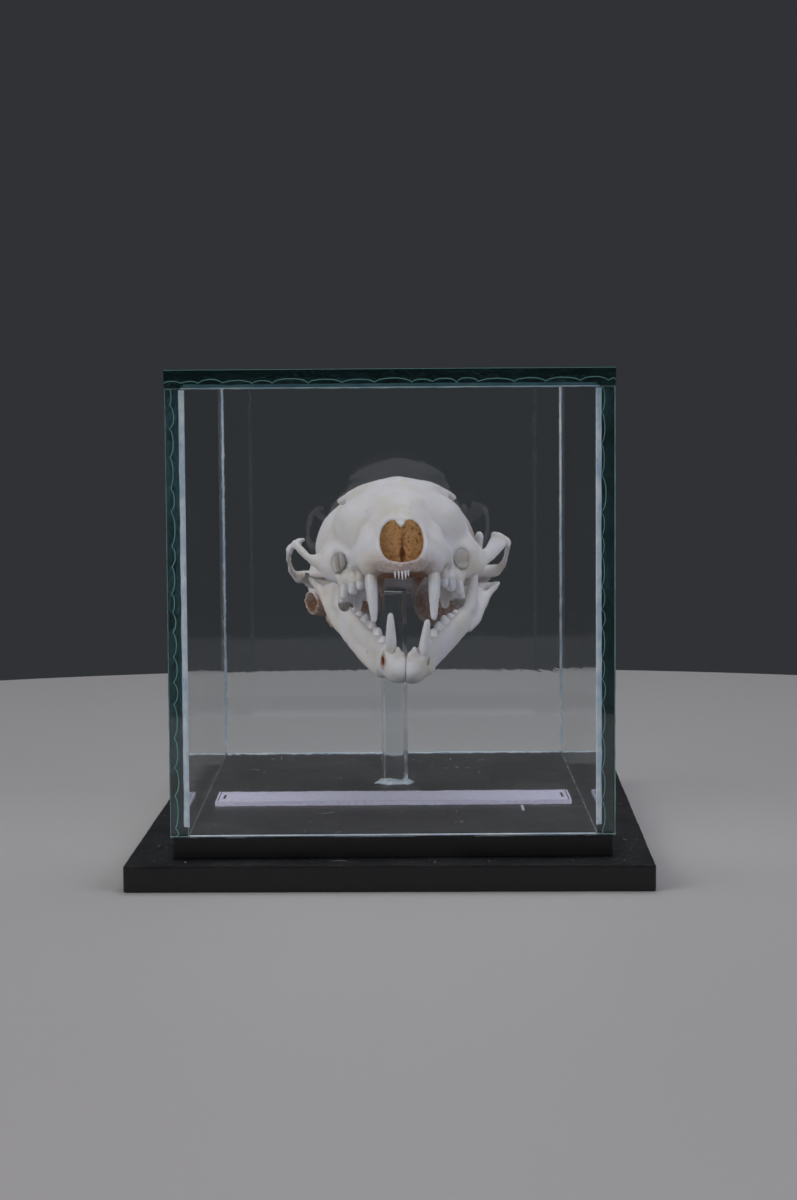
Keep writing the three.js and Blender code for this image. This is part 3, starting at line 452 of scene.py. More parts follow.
craniumShapes = [
    # braincase
    dict(at=(0, 33.4, 6.2), side=10.2, front=12.8, back=11.4, down=5, up=7.6, power=2.1),
    # back of the head, above the neck joint
    dict(at=(0, 38, 5.8), side=7.6, front=6, back=7.2, down=4, up=5.6, power=3),
    # forehead and the bridge between the eye sockets
    dict(at=(0, 17, 7.4), side=6.0, front=9.6, back=9, down=5.4, up=4.5, power=2.3),
    # bone in front, which holds the incisors
    dict(at=(0, 2.8, 2.1), side=3.4, front=2.2, back=3, down=1.6, up=2, power=2.8),
    # tooth-bearing bone around the palate
    dict(at=(0, 9.6, 1.9), side=6.3, front=8.2, back=7.2, down=1.45, up=3.4, power=2.6),
    # side of the face, out to the eye socket's rim
    dict(at=(4.6, 13.8, 6.4), side=3.4, front=5.6, back=2.6, down=3.9, up=3.9, power=2.1),
    # knob of bone below that canal, over the carnassial's front root
    dict(at=(6.35, 9.6, 0.55), side=0.75, front=0.8, back=1.4, down=0.75, up=0.7, soft=0.35),
    # bone around the canal below the eye
    dict(at=(7.2, 12.2, 2.4), side=2.2, front=2.7, back=2.0, down=2.1, up=2.7, power=2.4, soft=1.2),
    # bone over the palate's end
    dict(at=(0, 17.5, 3), side=3.4, front=6, back=5, down=1.9, up=3),
    # hearing bulla and mastoid swelling
    dict(at=(5.5, 35.8, 0.8), side=3.6, front=5.6, back=6.2, down=4.6, up=3, power=2.2, soft=0.9),
    dict(at=(7.9, 37.4, 2.6), side=3.5, front=3.8, back=4, down=4.7, up=4.4, soft=0.9),
    # neck joint
    dict(at=(3.2, 44.2, 3.2), side=1.9, front=2.7, back=2.7, down=2.2, up=2.2, soft=0.7),
    # roof from the forehead to the crown
    dict(stops=[(0, 19.5, 8.6, 4.9, 3.1), (0, 28, 9.0, 5.2, 3.9), (0, 37, 9.2, 5.4, 4.2)], soft=1.6),
    # brow: a convex shelf out to the process over each eye socket
    dict(stops=[(0, 17.0, 11.3, 3.6, 1.6), (2.5, 17.0, 11.3, 3.3, 1.55), (4.5, 17.3, 11.15, 2.4, 1.1),
                (5.9, 17.7, 10.95, 1.3, 0.62), (7.0, 18.1, 10.7, 0.35, 0.26)], soft=0.7),
    # muzzle
    dict(stops=[(0, 3.6, 3.7, 3.3, 2.95), (0, 14.5, 7.6, 5.5, 4.9)], soft=1.6),
    # bone edge that the incisors stand in
    dict(stops=[(0, 1.1, 0.66, 0.45, 0.5), (1.2, 1.35, 0.7, 0.45, 0.5), (2.3, 2.2, 0.95, 0.45, 0.5)],
         soft=0.5),
    # canine root
    dict(stops=[(3.62, 3.5, 1.3, 1.1, 1.1), (3.8, 4.6, 3.0, 1.15, 1.3), (3.9, 6.6, 5.2, 1, 1)],
         soft=1.0),
    # rim of the eye socket, down the face to the cheek plate
    dict(stops=[(5.3, 15.6, 9.9, 0.8, 0.7), (6.2, 14.4, 8.5, 0.8, 0.7), (7.1, 13.5, 7.0, 0.8, 0.7),
                (7.8, 12.9, 5.4, 0.8, 0.75), (8.5, 12.8, 4.1, 0.8, 0.8), (9.4, 13.0, 3.0, 0.6, 0.75)],
         soft=1.0),
    # cheek plate: a twisted band up from the face, broad and thin at its top
    dict(stops=[(7.6, 11.2, 0.9, 0.8, 0.8), (9.0, 12.0, 2.0, 0.6, 1.2), (9.9, 13.0, 2.7, 0.5, 1.0),
                (10.7, 14.2, 3.3, 0.45, 0.95), (11.5, 15.4, 4.2, 0.42, 1.0), (12.2, 16.2, 5.0, 0.38, 1.05)],
         up=(-0.6, 0, 0.8), soft=0.7),
    dict(stops=[(11.62, 15.95, 5.9, 0.32, 0.22), (12.3, 16.3, 5.7, 0.36, 0.36), (12.9, 16.7, 5.3, 0.36, 0.36),
                (13.3, 17.1, 4.85, 0.34, 0.32)], soft=0.5),
    # cheek arch
    dict(stops=[(13.25, 17.0, 4.75, 0.3, 0.5), (13.45, 20.4, 4.45, 0.3, 0.5), (13.45, 23.6, 3.9, 0.3, 0.5),
                (13.25, 26.0, 3.15, 0.34, 0.5), (12.7, 27.7, 2.7, 0.5, 0.55), (11.5, 29.0, 2.6, 0.8, 0.65),
                (10, 29.5, 2.6, 1.0, 0.75), (7.6, 30.2, 2.8, 1.4, 1.0)], steps=6, soft=0.5),
    # shelf over the jaw joint, with its front and back lips
    dict(stops=[(6.2, 29.6, 2.7, 1.6, 0.9), (9.6, 29.0, 2.6, 1.7, 0.75), (12.3, 28.4, 2.3, 1.0, 0.5)],
         soft=0.8),
    dict(stops=[(7.2, 30.5, 1.6, 0.5, 0.7), (9.4, 30.35, 1.5, 0.45, 0.65), (11.2, 29.95, 1.75, 0.4, 0.5)],
         soft=0.7),
    # wings that carry on from the palate
    dict(stops=[(2.6, 17.5, 1.9, 0.6, 1.5), (2.25, 23.5, 1.4, 0.4, 1.6), (2.1, 27.2, 0.5, 0.3, 0.8),
                (2.2, 28.2, -0.3, 0.25, 0.3)], soft=0.6),
    # underside of the braincase between the bullae
    dict(stops=[(0, 22, 2.6, 2.2, 1.2), (0, 30, 2.0, 2.4, 0.9), (0, 42, 1.9, 3.0, 0.9)], soft=1.0),
    # crest across the back of the head
    dict(stops=[(-9.2, 38.8, 3.2, 0.5, 0.7), (-8.6, 40.9, 5.4, 0.5, 0.7), (-6.2, 43.5, 8.8, 0.55, 0.75),
                (0, 44.9, 11.0, 0.7, 0.8), (6.2, 43.5, 8.8, 0.55, 0.75), (8.6, 40.9, 5.4, 0.5, 0.7),
                (9.2, 38.8, 3.2, 0.5, 0.7)], soft=0.9),
    # crest along the crown, and the lines that run to it from the brow
    dict(stops=[(0, 24, 12.6, 0.35, 0.6), (0, 31, 13.5, 0.3, 0.65), (0, 38, 13.0, 0.3, 0.7),
                (0, 44.8, 11.1, 0.5, 0.8)], soft=0.8),
    dict(stops=[(6.4, 18.4, 10.7, 0.35, 0.35), (4.0, 20.4, 11.2, 0.4, 0.4), (1.6, 23.0, 12.3, 0.4, 0.4),
                (0.2, 26.5, 12.95, 0.4, 0.4)], soft=0.9),
    # bony lip of the ear opening
    dict(stops=[(8.2, 35.4, 0.0, 1.9, 1.8), (9.8, 34.3, -0.3, 1.75, 1.7), (10.6, 33.7, -0.4, 1.6, 1.6)],
         soft=0.6),
    # process behind the bulla
    dict(stops=[(8.2, 39.6, 0.8, 1.0, 0.8), (8.5, 39.4, -1.6, 0.8, 0.6), (8.4, 39.0, -3.0, 0.35, 0.3)],
         up=(0, 1, 0), soft=0.7),
    # seam of the nose bones
    dict(stops=[(0, 3.4, 6.5, 0.5, 0.3), (0, 9, 9.1, 0.6, 0.4), (0, 14, 11.3, 0.7, 0.4)], soft=1.2),
    # rim of the nose opening
    dict(stops=[(0.0, 3.0, 6.15, 0.3, 0.3), (1.2, 2.6, 6.5, 0.3, 0.3), (2.35, 2.3, 5.2, 0.3, 0.3),
                (2.55, 1.7, 3.6, 0.32, 0.32), (1.9, 1.0, 2.0, 0.32, 0.32), (0, 0.7, 1.2, 0.34, 0.34)],
         soft=0.6),
]

# Bone that bulges round each tooth's root: x, y, z, half size across, half size along
rootCollars = [
    (3.65, 3.8, 0.75, 1.0, 1.35), (4.85, 6.0, 0.05, 0.65, 0.85), (5.6, 7.9, -0.1, 0.75, 1.2),
    (6.7, 9.8, -0.2, 0.8, 1.0), (6.65, 12.2, -0.15, 0.85, 1.2), (5.9, 14.4, 0.2, 1.4, 0.9),
]

craniumCuts = [
    # nose opening: two lobes and the width between them below
    dict(stops=[(1.1, -1.5, 3.9, 1.5, 2.35), (1.15, 3.0, 4.0, 1.38, 2.3), (1.1, 7.5, 5.0, 1.1, 1.7)],
         soft=0.35),
    dict(stops=[(0, -1.5, 3.0, 1.6, 1.7), (0, 3.0, 3.1, 1.4, 1.6), (0, 7.0, 4.4, 1.0, 1.2)], soft=0.35),
    # canal through each cheek plate's root
    dict(stops=[(7.2, 6.6, 2.05, 1.15, 1.45), (7.2, 9.6, 2.25, 0.95, 1.3), (7.35, 12, 2.6, 0.95, 1.25),
                (7.8, 14.5, 3.2, 1.2, 1.3), (8.4, 17.0, 4.2, 1.6, 1.5)], soft=0.35),
    # roof of the mouth
    dict(at=(0, 9.5, -0.6), side=3.6, front=6.8, back=9.5, down=1.2, up=1.7, power=2.2, soft=0.5),
    # air way behind the palate
    dict(stops=[(0, 20.4, 1.0, 1.5, 1.1), (0, 25, 0.8, 1.55, 1.2), (0, 29, -0.2, 1.3, 1.0)], soft=0.5),
    # ear opening
    dict(stops=[(8.4, 35.6, -0.2, 0.8, 0.8), (10.2, 34.1, -0.4, 1.2, 1.2), (12.4, 32.4, -0.5, 1.5, 1.4)],
         soft=0.3),
    # neck opening
    dict(stops=[(0, 50, 5.1, 2.7, 2), (0, 42.5, 5.1, 2.5, 1.9), (0, 38, 5.3, 1.4, 1.2)], soft=0.5),
    # hollow behind the brow process
    dict(at=(6.4, 19.6, 9.7), side=1.0, front=1.2, back=1.6, down=1.0, up=0.8, soft=0.6),
    # hollow of the eye socket's inner wall
    dict(at=(8.4, 17.6, 6.4), side=2.6, front=3.0, back=3.4, down=2.6, up=2.8, soft=0.8),
    # holes for nerves: palate, below the eye, behind the bulla
    dict(stops=[(2.2, 10.5, 0.2, 0.22, 0.22), (2.2, 10.8, 1.6, 0.2, 0.2)], up=(0, 1, 0), soft=0.1),
    dict(stops=[(0.7, 2.6, -0.4, 0.3, 0.7), (0.7, 2.9, 1.2, 0.25, 0.6)], up=(0, 1, 0), soft=0.15),
    dict(stops=[(3.6, 21.5, 3.4, 0.4, 0.4), (2.0, 22.0, 3.6, 0.35, 0.35)], soft=0.2),
    dict(stops=[(2.6, 30.6, 1.0, 0.4, 0.4), (2.6, 31.0, 2.4, 0.3, 0.3)], up=(0, 1, 0), soft=0.2),
    dict(stops=[(3.2, 41.6, 0.6, 0.4, 0.4), (3.2, 41.8, 2.2, 0.3, 0.3)], up=(0, 1, 0), soft=0.2),
]


# Joins or cuts each shape. Lumps have a middle and limbs have stops. Where both sides are wanted,
# a shape that keeps to the left side is made on the right as well.
def addShapes(field, shapes, into=join, bothSides=True):
    for shape in shapes:
        make, stops = (lump, [shape["at"]]) if "at" in shape else (limb, shape["stops"])
        across = [stop[0] for stop in stops]
        make(field, mirror=bothSides and min(across) >= 0 and max(across) > 0, into=into, **shape)


# Brown marks, stains and painted shade: where, how big in mm, how stretched and how strong
stainAndShadeSpots = [
    ((0, 12, 0.9), 5.0, (1, 2.4, 0.6), 1.7),  # roof of the mouth
    ((9.6, 34.6, -0.3), 1.9, (1, 1, 1), 0.7),  # ear openings
    ((-9.6, 34.6, -0.3), 1.9, (1, 1, 1), 0.75),
    ((-2.7, 2.4, 1.2), 1.0, (0.7, 1.2, 1.4), 0.5),  # beside the canines
    ((-2.6, 3.6, 0.1), 0.9, (1, 1, 1), 0.6),
    ((3.3, 2.8, 0.4), 1.0, (1, 1, 1), 0.4),
    ((9.6, 30.0, 7.6), 3.6, (0.8, 1.8, 1.2), 0.45),  # side of the braincase
    ((7.6, 14.0, 3.0), 1.5, (1, 1, 1), 0.5),  # canal below the eye
    ((-7.4, 8.2, -0.2), 1.1, (1, 1, 1), 0.3),  # painted shade between the cheek teeth
    ((6.0, 8.6, -0.4), 0.9, (1, 1, 1), 0.4),
    ((0, 46, 4.6), 3.6, (1, 1, 1), 0.4),  # neck opening
]

# Holes too small to model, painted as spots of dark shade: two above the incisors and one below the cheek's
# canal
darkHoles = [((0.0, 1.35, 1.5), 0.3), ((0.65, 1.35, 1.52), 0.28), ((7.9, 10.6, 0.9), 0.22)]

# Room for each joint roller: where to look, then its middle and half length in the jaw's frame, the
# x where it is level with the joint, its slope from there and its radius
rollerRoom = {"low": (-13.8, 26.5, -2.5), "high": (13.8, 31.5, 3.6), "middle": 9.6, "half": 2.4,
              "level": 8.4, "slope": 0.17, "radius": 1.0}


def makeCranium():
    field = newField(**craniumSize)
    addShapes(field, craniumShapes)
    ripple(field, 0.07, 5.3)
    for x, y, z, across, along in rootCollars:
        lump(field, (x, y, z), across, along, along, down=0.75, up=1.6, soft=0.7, mirror=True)
    addShapes(field, craniumCuts, into=cut)
    # room for the jaw's joint roller, wherever the jaw is set
    room = rollerRoom
    spans, x, y, z = blockOf(field, room["low"], room["high"])
    toJaw = jawPose.inverted() @ craniumPose
    turn, shift = np.array(toJaw.to_3x3()), np.array(toJaw.translation)
    jx, jy, jz = (turn[i][0] * x + turn[i][1] * y + turn[i][2] * z + shift[i] for i in range(3))
    beyond = np.maximum(np.abs(np.abs(jx) - room["middle"]) - room["half"], 0)
    rise = room["slope"] * (np.abs(jx) - room["level"])
    roller = np.sqrt(jy ** 2 + (jz - rise) ** 2 + beyond ** 2) - room["radius"]
    cut(field, spans, roller.astype(np.float32), 0.3)
    points, quads = surfaceOf(field)
    x, y, z = points.T
    nose = spot(points, (0, 4.2, 3.8), 3.4, (1, 1.1, 1))
    stain = np.clip((nose - 0.35) * 2.2, 0, 1) * (y > 2.3)
    stain = np.maximum(stain, strongestMark(points, stainAndShadeSpots))
    # painted shade on the underside behind the palate, darker towards the bottom, in the brown of the stains
    stain = np.maximum(stain, 0.75 * np.clip((1.6 - z) / 2.0, 0, 1) * np.clip((y - 17) / 4, 0, 1))
    # painted shade in the holes too small to model
    for at, radius in darkHoles:
        stain = np.maximum(stain, 1.6 * spot(points, at, radius))
    # painted shade in the hollows, and the brown marks with their painted shade
    marks = {"recess": hollowness(field, points, 0.8, 2.4), "stain": stain}
    return meshObject("craniumBone", points, quads, craniumPose, boneMat, marks)


craniumBone = makeCranium()
place(craniumBone, "bone", "cranium")
print("cranium:", len(craniumBone.data.polygons), "faces")


# Spongy scrolled bone that fills the nose opening, behind its rim. Grain sizes are in mm.

noseFilling = {"low": (-2.9, 1.4, 0.9), "high": (2.9, 7.0, 6.8), "step": 0.085, "scroll": 0.62, "depth": 2.5,
               "coarse": 0.3, "fine": 0.1, "relief": 0.075, "seed": 11}


# Soft random lumps of about the given size on the field's own grid, from -1 to 1
def grainOn(field, size, seed):
    shape = field["values"].shape
    grain = np.random.default_rng(seed).standard_normal(shape).astype(np.float32)
    for axis in range(3):
        for _ in range(max(1, round(size / field["step"] / 1.4))):
            grain = (grain + np.roll(grain, 1, axis) + np.roll(grain, -1, axis)) / 3
    return grain / (2.2 * grain.std())


def makeNoseFilling(sizes):
    field = newField(sizes["low"], sizes["high"], sizes["step"])
    x, y, z = gridOf(field)
    # a shallow dish with pits all over it, faint scrolls on each side and a hole low in the middle
    angle = np.arctan2(z - 3.9, np.abs(x) - 1.2)
    away = np.sqrt((np.abs(x) - 1.2) ** 2 + ((z - 3.9) * 0.75) ** 2)
    leaf = np.cos(2 * math.pi * (away / sizes["scroll"] + angle / (2 * math.pi)))
    hole = 0.6 * np.exp(-(((x - 0.05) / 0.3) ** 2 + ((z - 2.5) / 0.75) ** 2))
    start = sizes["depth"] + 0.1 * np.abs(x) ** 1.5 - 0.1 * (z - 4) + hole
    pits = (grainOn(field, sizes["coarse"], sizes["seed"])
            + 0.6 * grainOn(field, sizes["fine"], sizes["seed"] + 1))
    whole = start - y + sizes["relief"] * pits + 0.035 * leaf
    septum = np.maximum(np.abs(x - 0.06 - 0.05 * np.sin(z * 2.0)) - 0.09, start - 0.12 - y)
    whole = np.minimum(whole, septum)
    outer = np.minimum(
        np.sqrt(((np.abs(x) - 1.12) / 1.62) ** 2 + ((z - 3.95) / 2.55) ** 2) - 1,
        np.sqrt((x / 1.7) ** 2 + ((z - 3.1) / 1.85) ** 2) - 1) * 1.6
    whole = np.maximum(np.maximum(whole, outer), y - 4.6)
    field["values"][:] = whole.astype(np.float32)
    field["values"][[0, -1], :, :] = 1
    field["values"][:, [0, -1], :] = 1
    field["values"][:, :, [0, -1]] = 1
    points, quads = surfaceOf(field)
    x, y, z = points.T
    # painted shade: in the folds, in a line along the septum that is stronger lower down, and in the hole low
    # in the middle
    seam = np.clip(1 - np.abs(x - 0.06) / 0.22, 0, 1) * np.clip((5.6 - z) / 1.5, 0.3, 1)
    low = spot(points, (0.05, 2.9, 2.4), 0.5, (0.7, 2, 1.2))
    dark = np.clip(0.8 * hollowness(field, points, 0.25, 5.0) + 0.55 * seam + 0.8 * low, 0, 1.4)
    return meshObject("noseScrolls", points, quads, craniumPose, spongeMat, {"recess": dark})


noseScrolls = makeNoseFilling(noseFilling)
place(noseScrolls, "bone", "cranium")
print("nose filling:", len(noseScrolls.data.polygons), "faces")


# Teeth. A tooth is a list of cusps, each a path of x, y, z, half width, half length from the root
# to the tip, joined softly. Each is made for the left side and mirrored for the right.

upperTeeth = [
    # canines
    [[(3.7, 3.9, 2.0, 0.62, 0.95), (3.72, 3.75, 0.4, 0.70, 1.05), (3.66, 3.6, -1.4, 0.71, 0.98),
      (3.56, 3.65, -3.2, 0.56, 0.78), (3.5, 3.85, -4.7, 0.4, 0.52), (3.5, 3.9, -5.0, 0.3, 0.36)]],
    # small premolar
    [[(4.7, 6.0, 0.9, 0.45, 0.6), (4.85, 5.95, -0.2, 0.58, 0.65), (4.95, 5.9, -0.85, 0.48, 0.5)]],
    # second premolar
    [[(5.3, 7.9, 1.0, 0.6, 1.0), (5.65, 7.8, -0.3, 0.68, 1.0), (5.8, 7.7, -1.2, 0.55, 0.5)],
     [(5.5, 8.8, 0.4, 0.6, 0.5), (5.9, 8.9, -0.9, 0.5, 0.4)]],
    # carnassial: blunt front cusp, tall worn blade, small inner cusp
    [[(6.5, 9.8, 0.8, 0.55, 0.8), (6.75, 9.6, -0.5, 0.6, 0.85), (6.9, 9.5, -1.6, 0.5, 0.6)],
     [(6.5, 11.2, 1.0, 0.65, 1.3), (6.75, 11.2, -0.6, 0.7, 1.5), (6.85, 11.2, -2.2, 0.76, 1.4),
      (6.85, 11.2, -2.7, 0.66, 1.2)],
     [(6.6, 12.9, 0.6, 0.6, 0.8), (6.85, 12.9, -1.0, 0.55, 0.8), (6.9, 12.9, -2.0, 0.4, 0.6)],
     [(5.0, 9.2, 1.0, 0.6, 0.6), (4.9, 9.1, -0.2, 0.55, 0.55), (4.85, 9.1, -0.9, 0.32, 0.32)]],
    # molar, set across the jaw: outer and inner lobes
    [[(6.3, 14.4, 0.8, 0.65, 0.7), (6.3, 14.4, -0.8, 0.65, 0.7), (6.3, 14.3, -1.9, 0.35, 0.4)],
     [(5.4, 14.2, 0.2, 0.7, 0.6), (5.3, 14.0, -1.4, 0.75, 0.5), (5.25, 13.8, -2.8, 0.45, 0.4)],
     [(4.3, 14.8, 1.0, 0.8, 0.9), (4.2, 14.8, -0.4, 0.75, 0.9), (4.2, 14.8, -1.4, 0.5, 0.6)]],
]

# what is left of the incisors, thin worn spikes: x, length, half width
upperIncisors = [(-0.9, 0.6, 0.13), (-0.5, 0.75, 0.12), (-0.1, 0.8, 0.13), (0.28, 0.72, 0.13),
                 (0.6, 0.4, 0.12)]

toothStep = 0.1


# Points, faces and neck mark of one tooth
def toothSurface(cusps, toTip, sideSign, soft=0.3, wave=0.02):
    rows = np.array([row for cusp in cusps for row in cusp], dtype=float)
    size = rows[:, 3:].max()
    low = rows[:, :3].min(0) - size - 0.5
    high = rows[:, :3].max(0) + size + 0.5
    field = newField(low, high, toothStep)
    for cusp in cusps:
        limb(field, cusp, up=(0, 1, 0), steps=5, soft=soft)
    ripple(field, wave, 1.7)
    points, quads = surfaceOf(field)
    heights = points[:, 2] * toTip
    tip = heights.max()
    neckLine = tip - 0.8 * (tip - np.percentile(heights, 3))
    neck = np.clip(1 - (heights - neckLine) / max(0.35 * (tip - neckLine), 0.3), 0, 1)
    if sideSign < 0:
        points = points * np.array([-1, 1, 1])
        quads = quads[:, ::-1]
    return points, quads, neck


def joinSurfaces(surfaces):
    points, faces, marks, count = [], [], [], 0
    for p, f, m in surfaces:
        points.append(p)
        faces.append(f + count)
        marks.append(m)
        count += len(p)
    return np.vstack(points), np.vstack(faces), np.concatenate(marks)


def makeUpperTeeth():
    surfaces = []
    for tooth in upperTeeth:
        for sign in (1, -1):
            surfaces.append(toothSurface(tooth, -1, sign))
    for x, length, half in upperIncisors:
        y = 0.8 + 0.24 * x * x
        cusp = [(x * 0.96, y + 0.3, 1.3, half, half * 1.4), (x, y, 0.1, half, half * 1.3),
                (x * 1.02, y - 0.12, -length, half * 0.45, half * 0.5)]
        surfaces.append(toothSurface([cusp], -1, 1, wave=0.01))
    points, faces, neck = joinSurfaces(surfaces)
    # the carnassials' underside, below the blade's lower edge, is painted grey
    x, y, z = points.T
    blade = np.clip(1.4 - np.hypot((np.abs(x) - 6.85) / 0.9, (y - 11.0) / 1.7), 0, 1)
    worn = np.clip((-2.15 - z) / 0.3, 0, 1) * np.clip(blade * 2.5, 0, 1)
    return meshObject("upperTeeth", points, faces, craniumPose, enamelMat, {"neck": neck, "worn": worn})


upperTeethPiece = makeUpperTeeth()
place(upperTeethPiece, "bone", "cranium")
print("upper teeth:", len(upperTeethPiece.data.polygons), "faces")


# Lower jaw. Its frame starts midway between the two jaw joints; one half is made on +X and the
# other mirrored, with its own small differences.

jawSize = {"low": (-0.6, -28.6, -5.6), "high": (13.4, 3.0, 11.6), "step": 0.16}

jawLimbs = [
    # body, from the corner of the jaw to the chin
    dict(stops=[(9.6, 1.0, -2.0, 0.35, 0.5), (9.4, -1.2, -1.4, 0.5, 1.0), (9.0, -3.8, -0.7, 0.55, 1.5),
                (8.15, -7, -0.35, 0.7, 1.6), (7.0, -10.5, -0.3, 0.8, 1.6), (5.3, -15, -0.35, 0.85, 1.7),
                (3.6, -19, -0.4, 0.9, 1.8), (2.4, -22.2, -0.2, 1.0, 1.8), (1.2, -24.6, 0.15, 1.55, 1.9),
                (0.75, -25.8, 0.4, 1.65, 1.8), (0.5, -26.6, 0.7, 1.45, 1.35)], steps=4, soft=0.7),
    # upright branch up to its blunt tip
    dict(stops=[(8.3, -6.2, -0.2, 0.55, 3.2), (8.5, -5.2, 2.0, 0.45, 3.0), (8.75, -4.8, 4.4, 0.4, 2.4),
                (8.9, -4.7, 7.0, 0.4, 1.5), (8.95, -4.95, 8.8, 0.42, 0.8), (8.95, -5.0, 9.35, 0.34, 0.45)],
         up=(0, -1, 0), soft=0.7),
    # front edge of the branch
    dict(stops=[(7.3, -9.4, 0.6, 0.55, 0.6), (8.0, -7.9, 3.4, 0.42, 0.5), (8.6, -6.4, 6.6, 0.42, 0.45),
                (8.95, -5.3, 9.1, 0.42, 0.42)], up=(0, -1, 0), soft=0.6),
    # neck below the joint, and the flange that runs from it down the outer side
    dict(stops=[(9.6, -0.4, -0.2, 0.75, 0.7), (9.2, -2.0, -0.2, 0.6, 1.2), (8.8, -4.2, -0.2, 0.55, 1.6)],
         soft=0.7),
    dict(stops=[(11.4, -0.4, 0.6, 0.38, 0.34), (10.5, -2.0, 0.25, 0.45, 0.6), (9.7, -4.5, -0.3, 0.45, 0.8),
                (9.1, -7.0, -0.8, 0.45, 0.7), (8.1, -9.2, -1.2, 0.4, 0.6)], soft=0.7),
    # joint roller
    dict(stops=[(7.3, 0, -0.1, 0.5, 0.5), (8.8, 0, 0.1, 0.74, 0.74), (10.4, 0, 0.35, 0.64, 0.64),
                (11.8, 0, 0.9, 0.32, 0.32)], soft=0.4),
    # bone around the canine's root
    dict(stops=[(1.95, -25.1, 1.9, 0.8, 1.05), (2.05, -24.4, 0.6, 0.9, 1.3), (2.6, -22.4, -0.3, 0.85, 1.3)],
         up=(0, 1, 0), soft=0.7),
    # ledge that holds the cheek teeth
    dict(stops=[(2.2, -22.8, 1.2, 0.7, 0.6), (3.35, -19, 0.8, 0.8, 0.7), (4.95, -14.5, 0.5, 0.85, 0.75),
                (6.5, -10, 0.4, 0.7, 0.7)], soft=0.7),
    # knobs along the top of the chin, where the incisors were
    dict(stops=[(0.45, -26.2, 1.4, 0.4, 0.5), (0.48, -26.3, 2.45, 0.3, 0.36)], up=(0, 1, 0), soft=0.4),
    dict(stops=[(0.95, -25.9, 1.8, 0.4, 0.5), (0.95, -26.0, 2.95, 0.28, 0.34)], up=(0, 1, 0), soft=0.4),
]

jawCuts = [
    # hollow where the chewing muscle sat
    dict(at=(10.1, -4.6, 3.0), side=1.35, front=2.4, back=2.0, down=3.0, up=3.6, soft=0.6),
    # nerve holes near the chin, and the one on the inner side
    dict(stops=[(3.1, -26.2, 1.1, 0.32, 0.6), (2.2, -24.6, 1.0, 0.22, 0.35)], soft=0.2),
    dict(stops=[(5.6, -19.6, -0.4, 0.28, 0.28), (4.2, -19.2, -0.5, 0.2, 0.2)], soft=0.2),
    dict(stops=[(7.2, -4.4, 0.4, 0.45, 0.45), (8.8, -5.2, 0.0, 0.3, 0.3)], soft=0.25),
]

lowerTeeth = [
    [[(2.35, -22.8, 0.6, 0.5, 0.6), (2.35, -22.8, 1.4, 0.56, 0.7), (2.35, -22.9, 1.8, 0.34, 0.4)]],
    [[(2.8, -20.8, 0.4, 0.6, 1.0), (2.75, -20.8, 1.2, 0.68, 1.1), (2.7, -20.95, 1.8, 0.48, 0.65),
      (2.7, -21.0, 2.0, 0.3, 0.36)]],
    [[(3.5, -18.4, 0.2, 0.66, 1.15), (3.4, -18.4, 1.0, 0.74, 1.3), (3.3, -18.5, 1.7, 0.52, 0.8),
      (3.25, -18.6, 2.1, 0.3, 0.38)],
     [(3.7, -17.4, 0.6, 0.55, 0.55), (3.6, -17.3, 1.5, 0.38, 0.4)]],
    [[(4.35, -15.9, 0.0, 0.7, 1.15), (4.2, -15.9, 0.9, 0.78, 1.3), (4.05, -16.1, 1.6, 0.5, 0.95),
      (4.0, -16.2, 2.0, 0.3, 0.52)],
     [(5.0, -13.9, -0.2, 0.7, 1.15), (4.9, -13.9, 0.7, 0.8, 1.3), (4.75, -13.9, 1.5, 0.5, 0.95),
      (4.7, -13.9, 1.9, 0.3, 0.48)],
     [(5.7, -12.0, -0.2, 0.65, 0.85), (5.6, -12.0, 0.7, 0.7, 0.95), (5.5, -12.0, 1.2, 0.5, 0.62)]],
    [[(6.3, -10.4, -0.2, 0.5, 0.55), (6.2, -10.4, 0.8, 0.56, 0.62), (6.15, -10.4, 1.15, 0.36, 0.4)]],
]

# each side's canine: where its root stands, how far its tip leans out and how high it reaches
lowerCanine = {"left": {"x": 2.05, "lean": 0.33, "neck": 2.2, "tip": 6.4},
               "right": {"x": 1.78, "lean": 0.15, "neck": 3.0, "tip": 7.1}}
# share of the way from its neck to its tip, and half width there
canineStops = [(-0.55, 0.6), (0.0, 0.66), (0.3, 0.62), (0.6, 0.5), (0.88, 0.37), (0.95, 0.3)]

# brown marks: where, how big, how stretched and how strong; the right chin's hole is the darkest
jawStains = [((0.6, -25.4, 2.0), 1.2, (1, 1, 1), 0.45), ((8.6, -3.0, -1.0), 2.5, (1, 1, 1), 0.25)]
sideStains = {"left": [((2.5, -25.3, 1.1), 0.85, (0.7, 1, 1.3), 0.3),
                       ((0.4, -26.4, 1.3), 0.9, (1, 1, 1), 0.75)],
              "right": [((2.5, -25.3, 1.1), 0.85, (0.7, 1, 1.3), 1.5)]}

# the right half's lower edge hangs a little lower and farther out
rightJawEdge = [(8.3, -8.0, -1.1, 0.45, 0.7), (7.1, -11.5, -1.5, 0.55, 0.8), (5.9, -15, -1.6, 0.6, 0.8),
                (4.3, -19, -1.7, 0.7, 0.8), (2.9, -22.4, -1.3, 0.8, 0.9)]


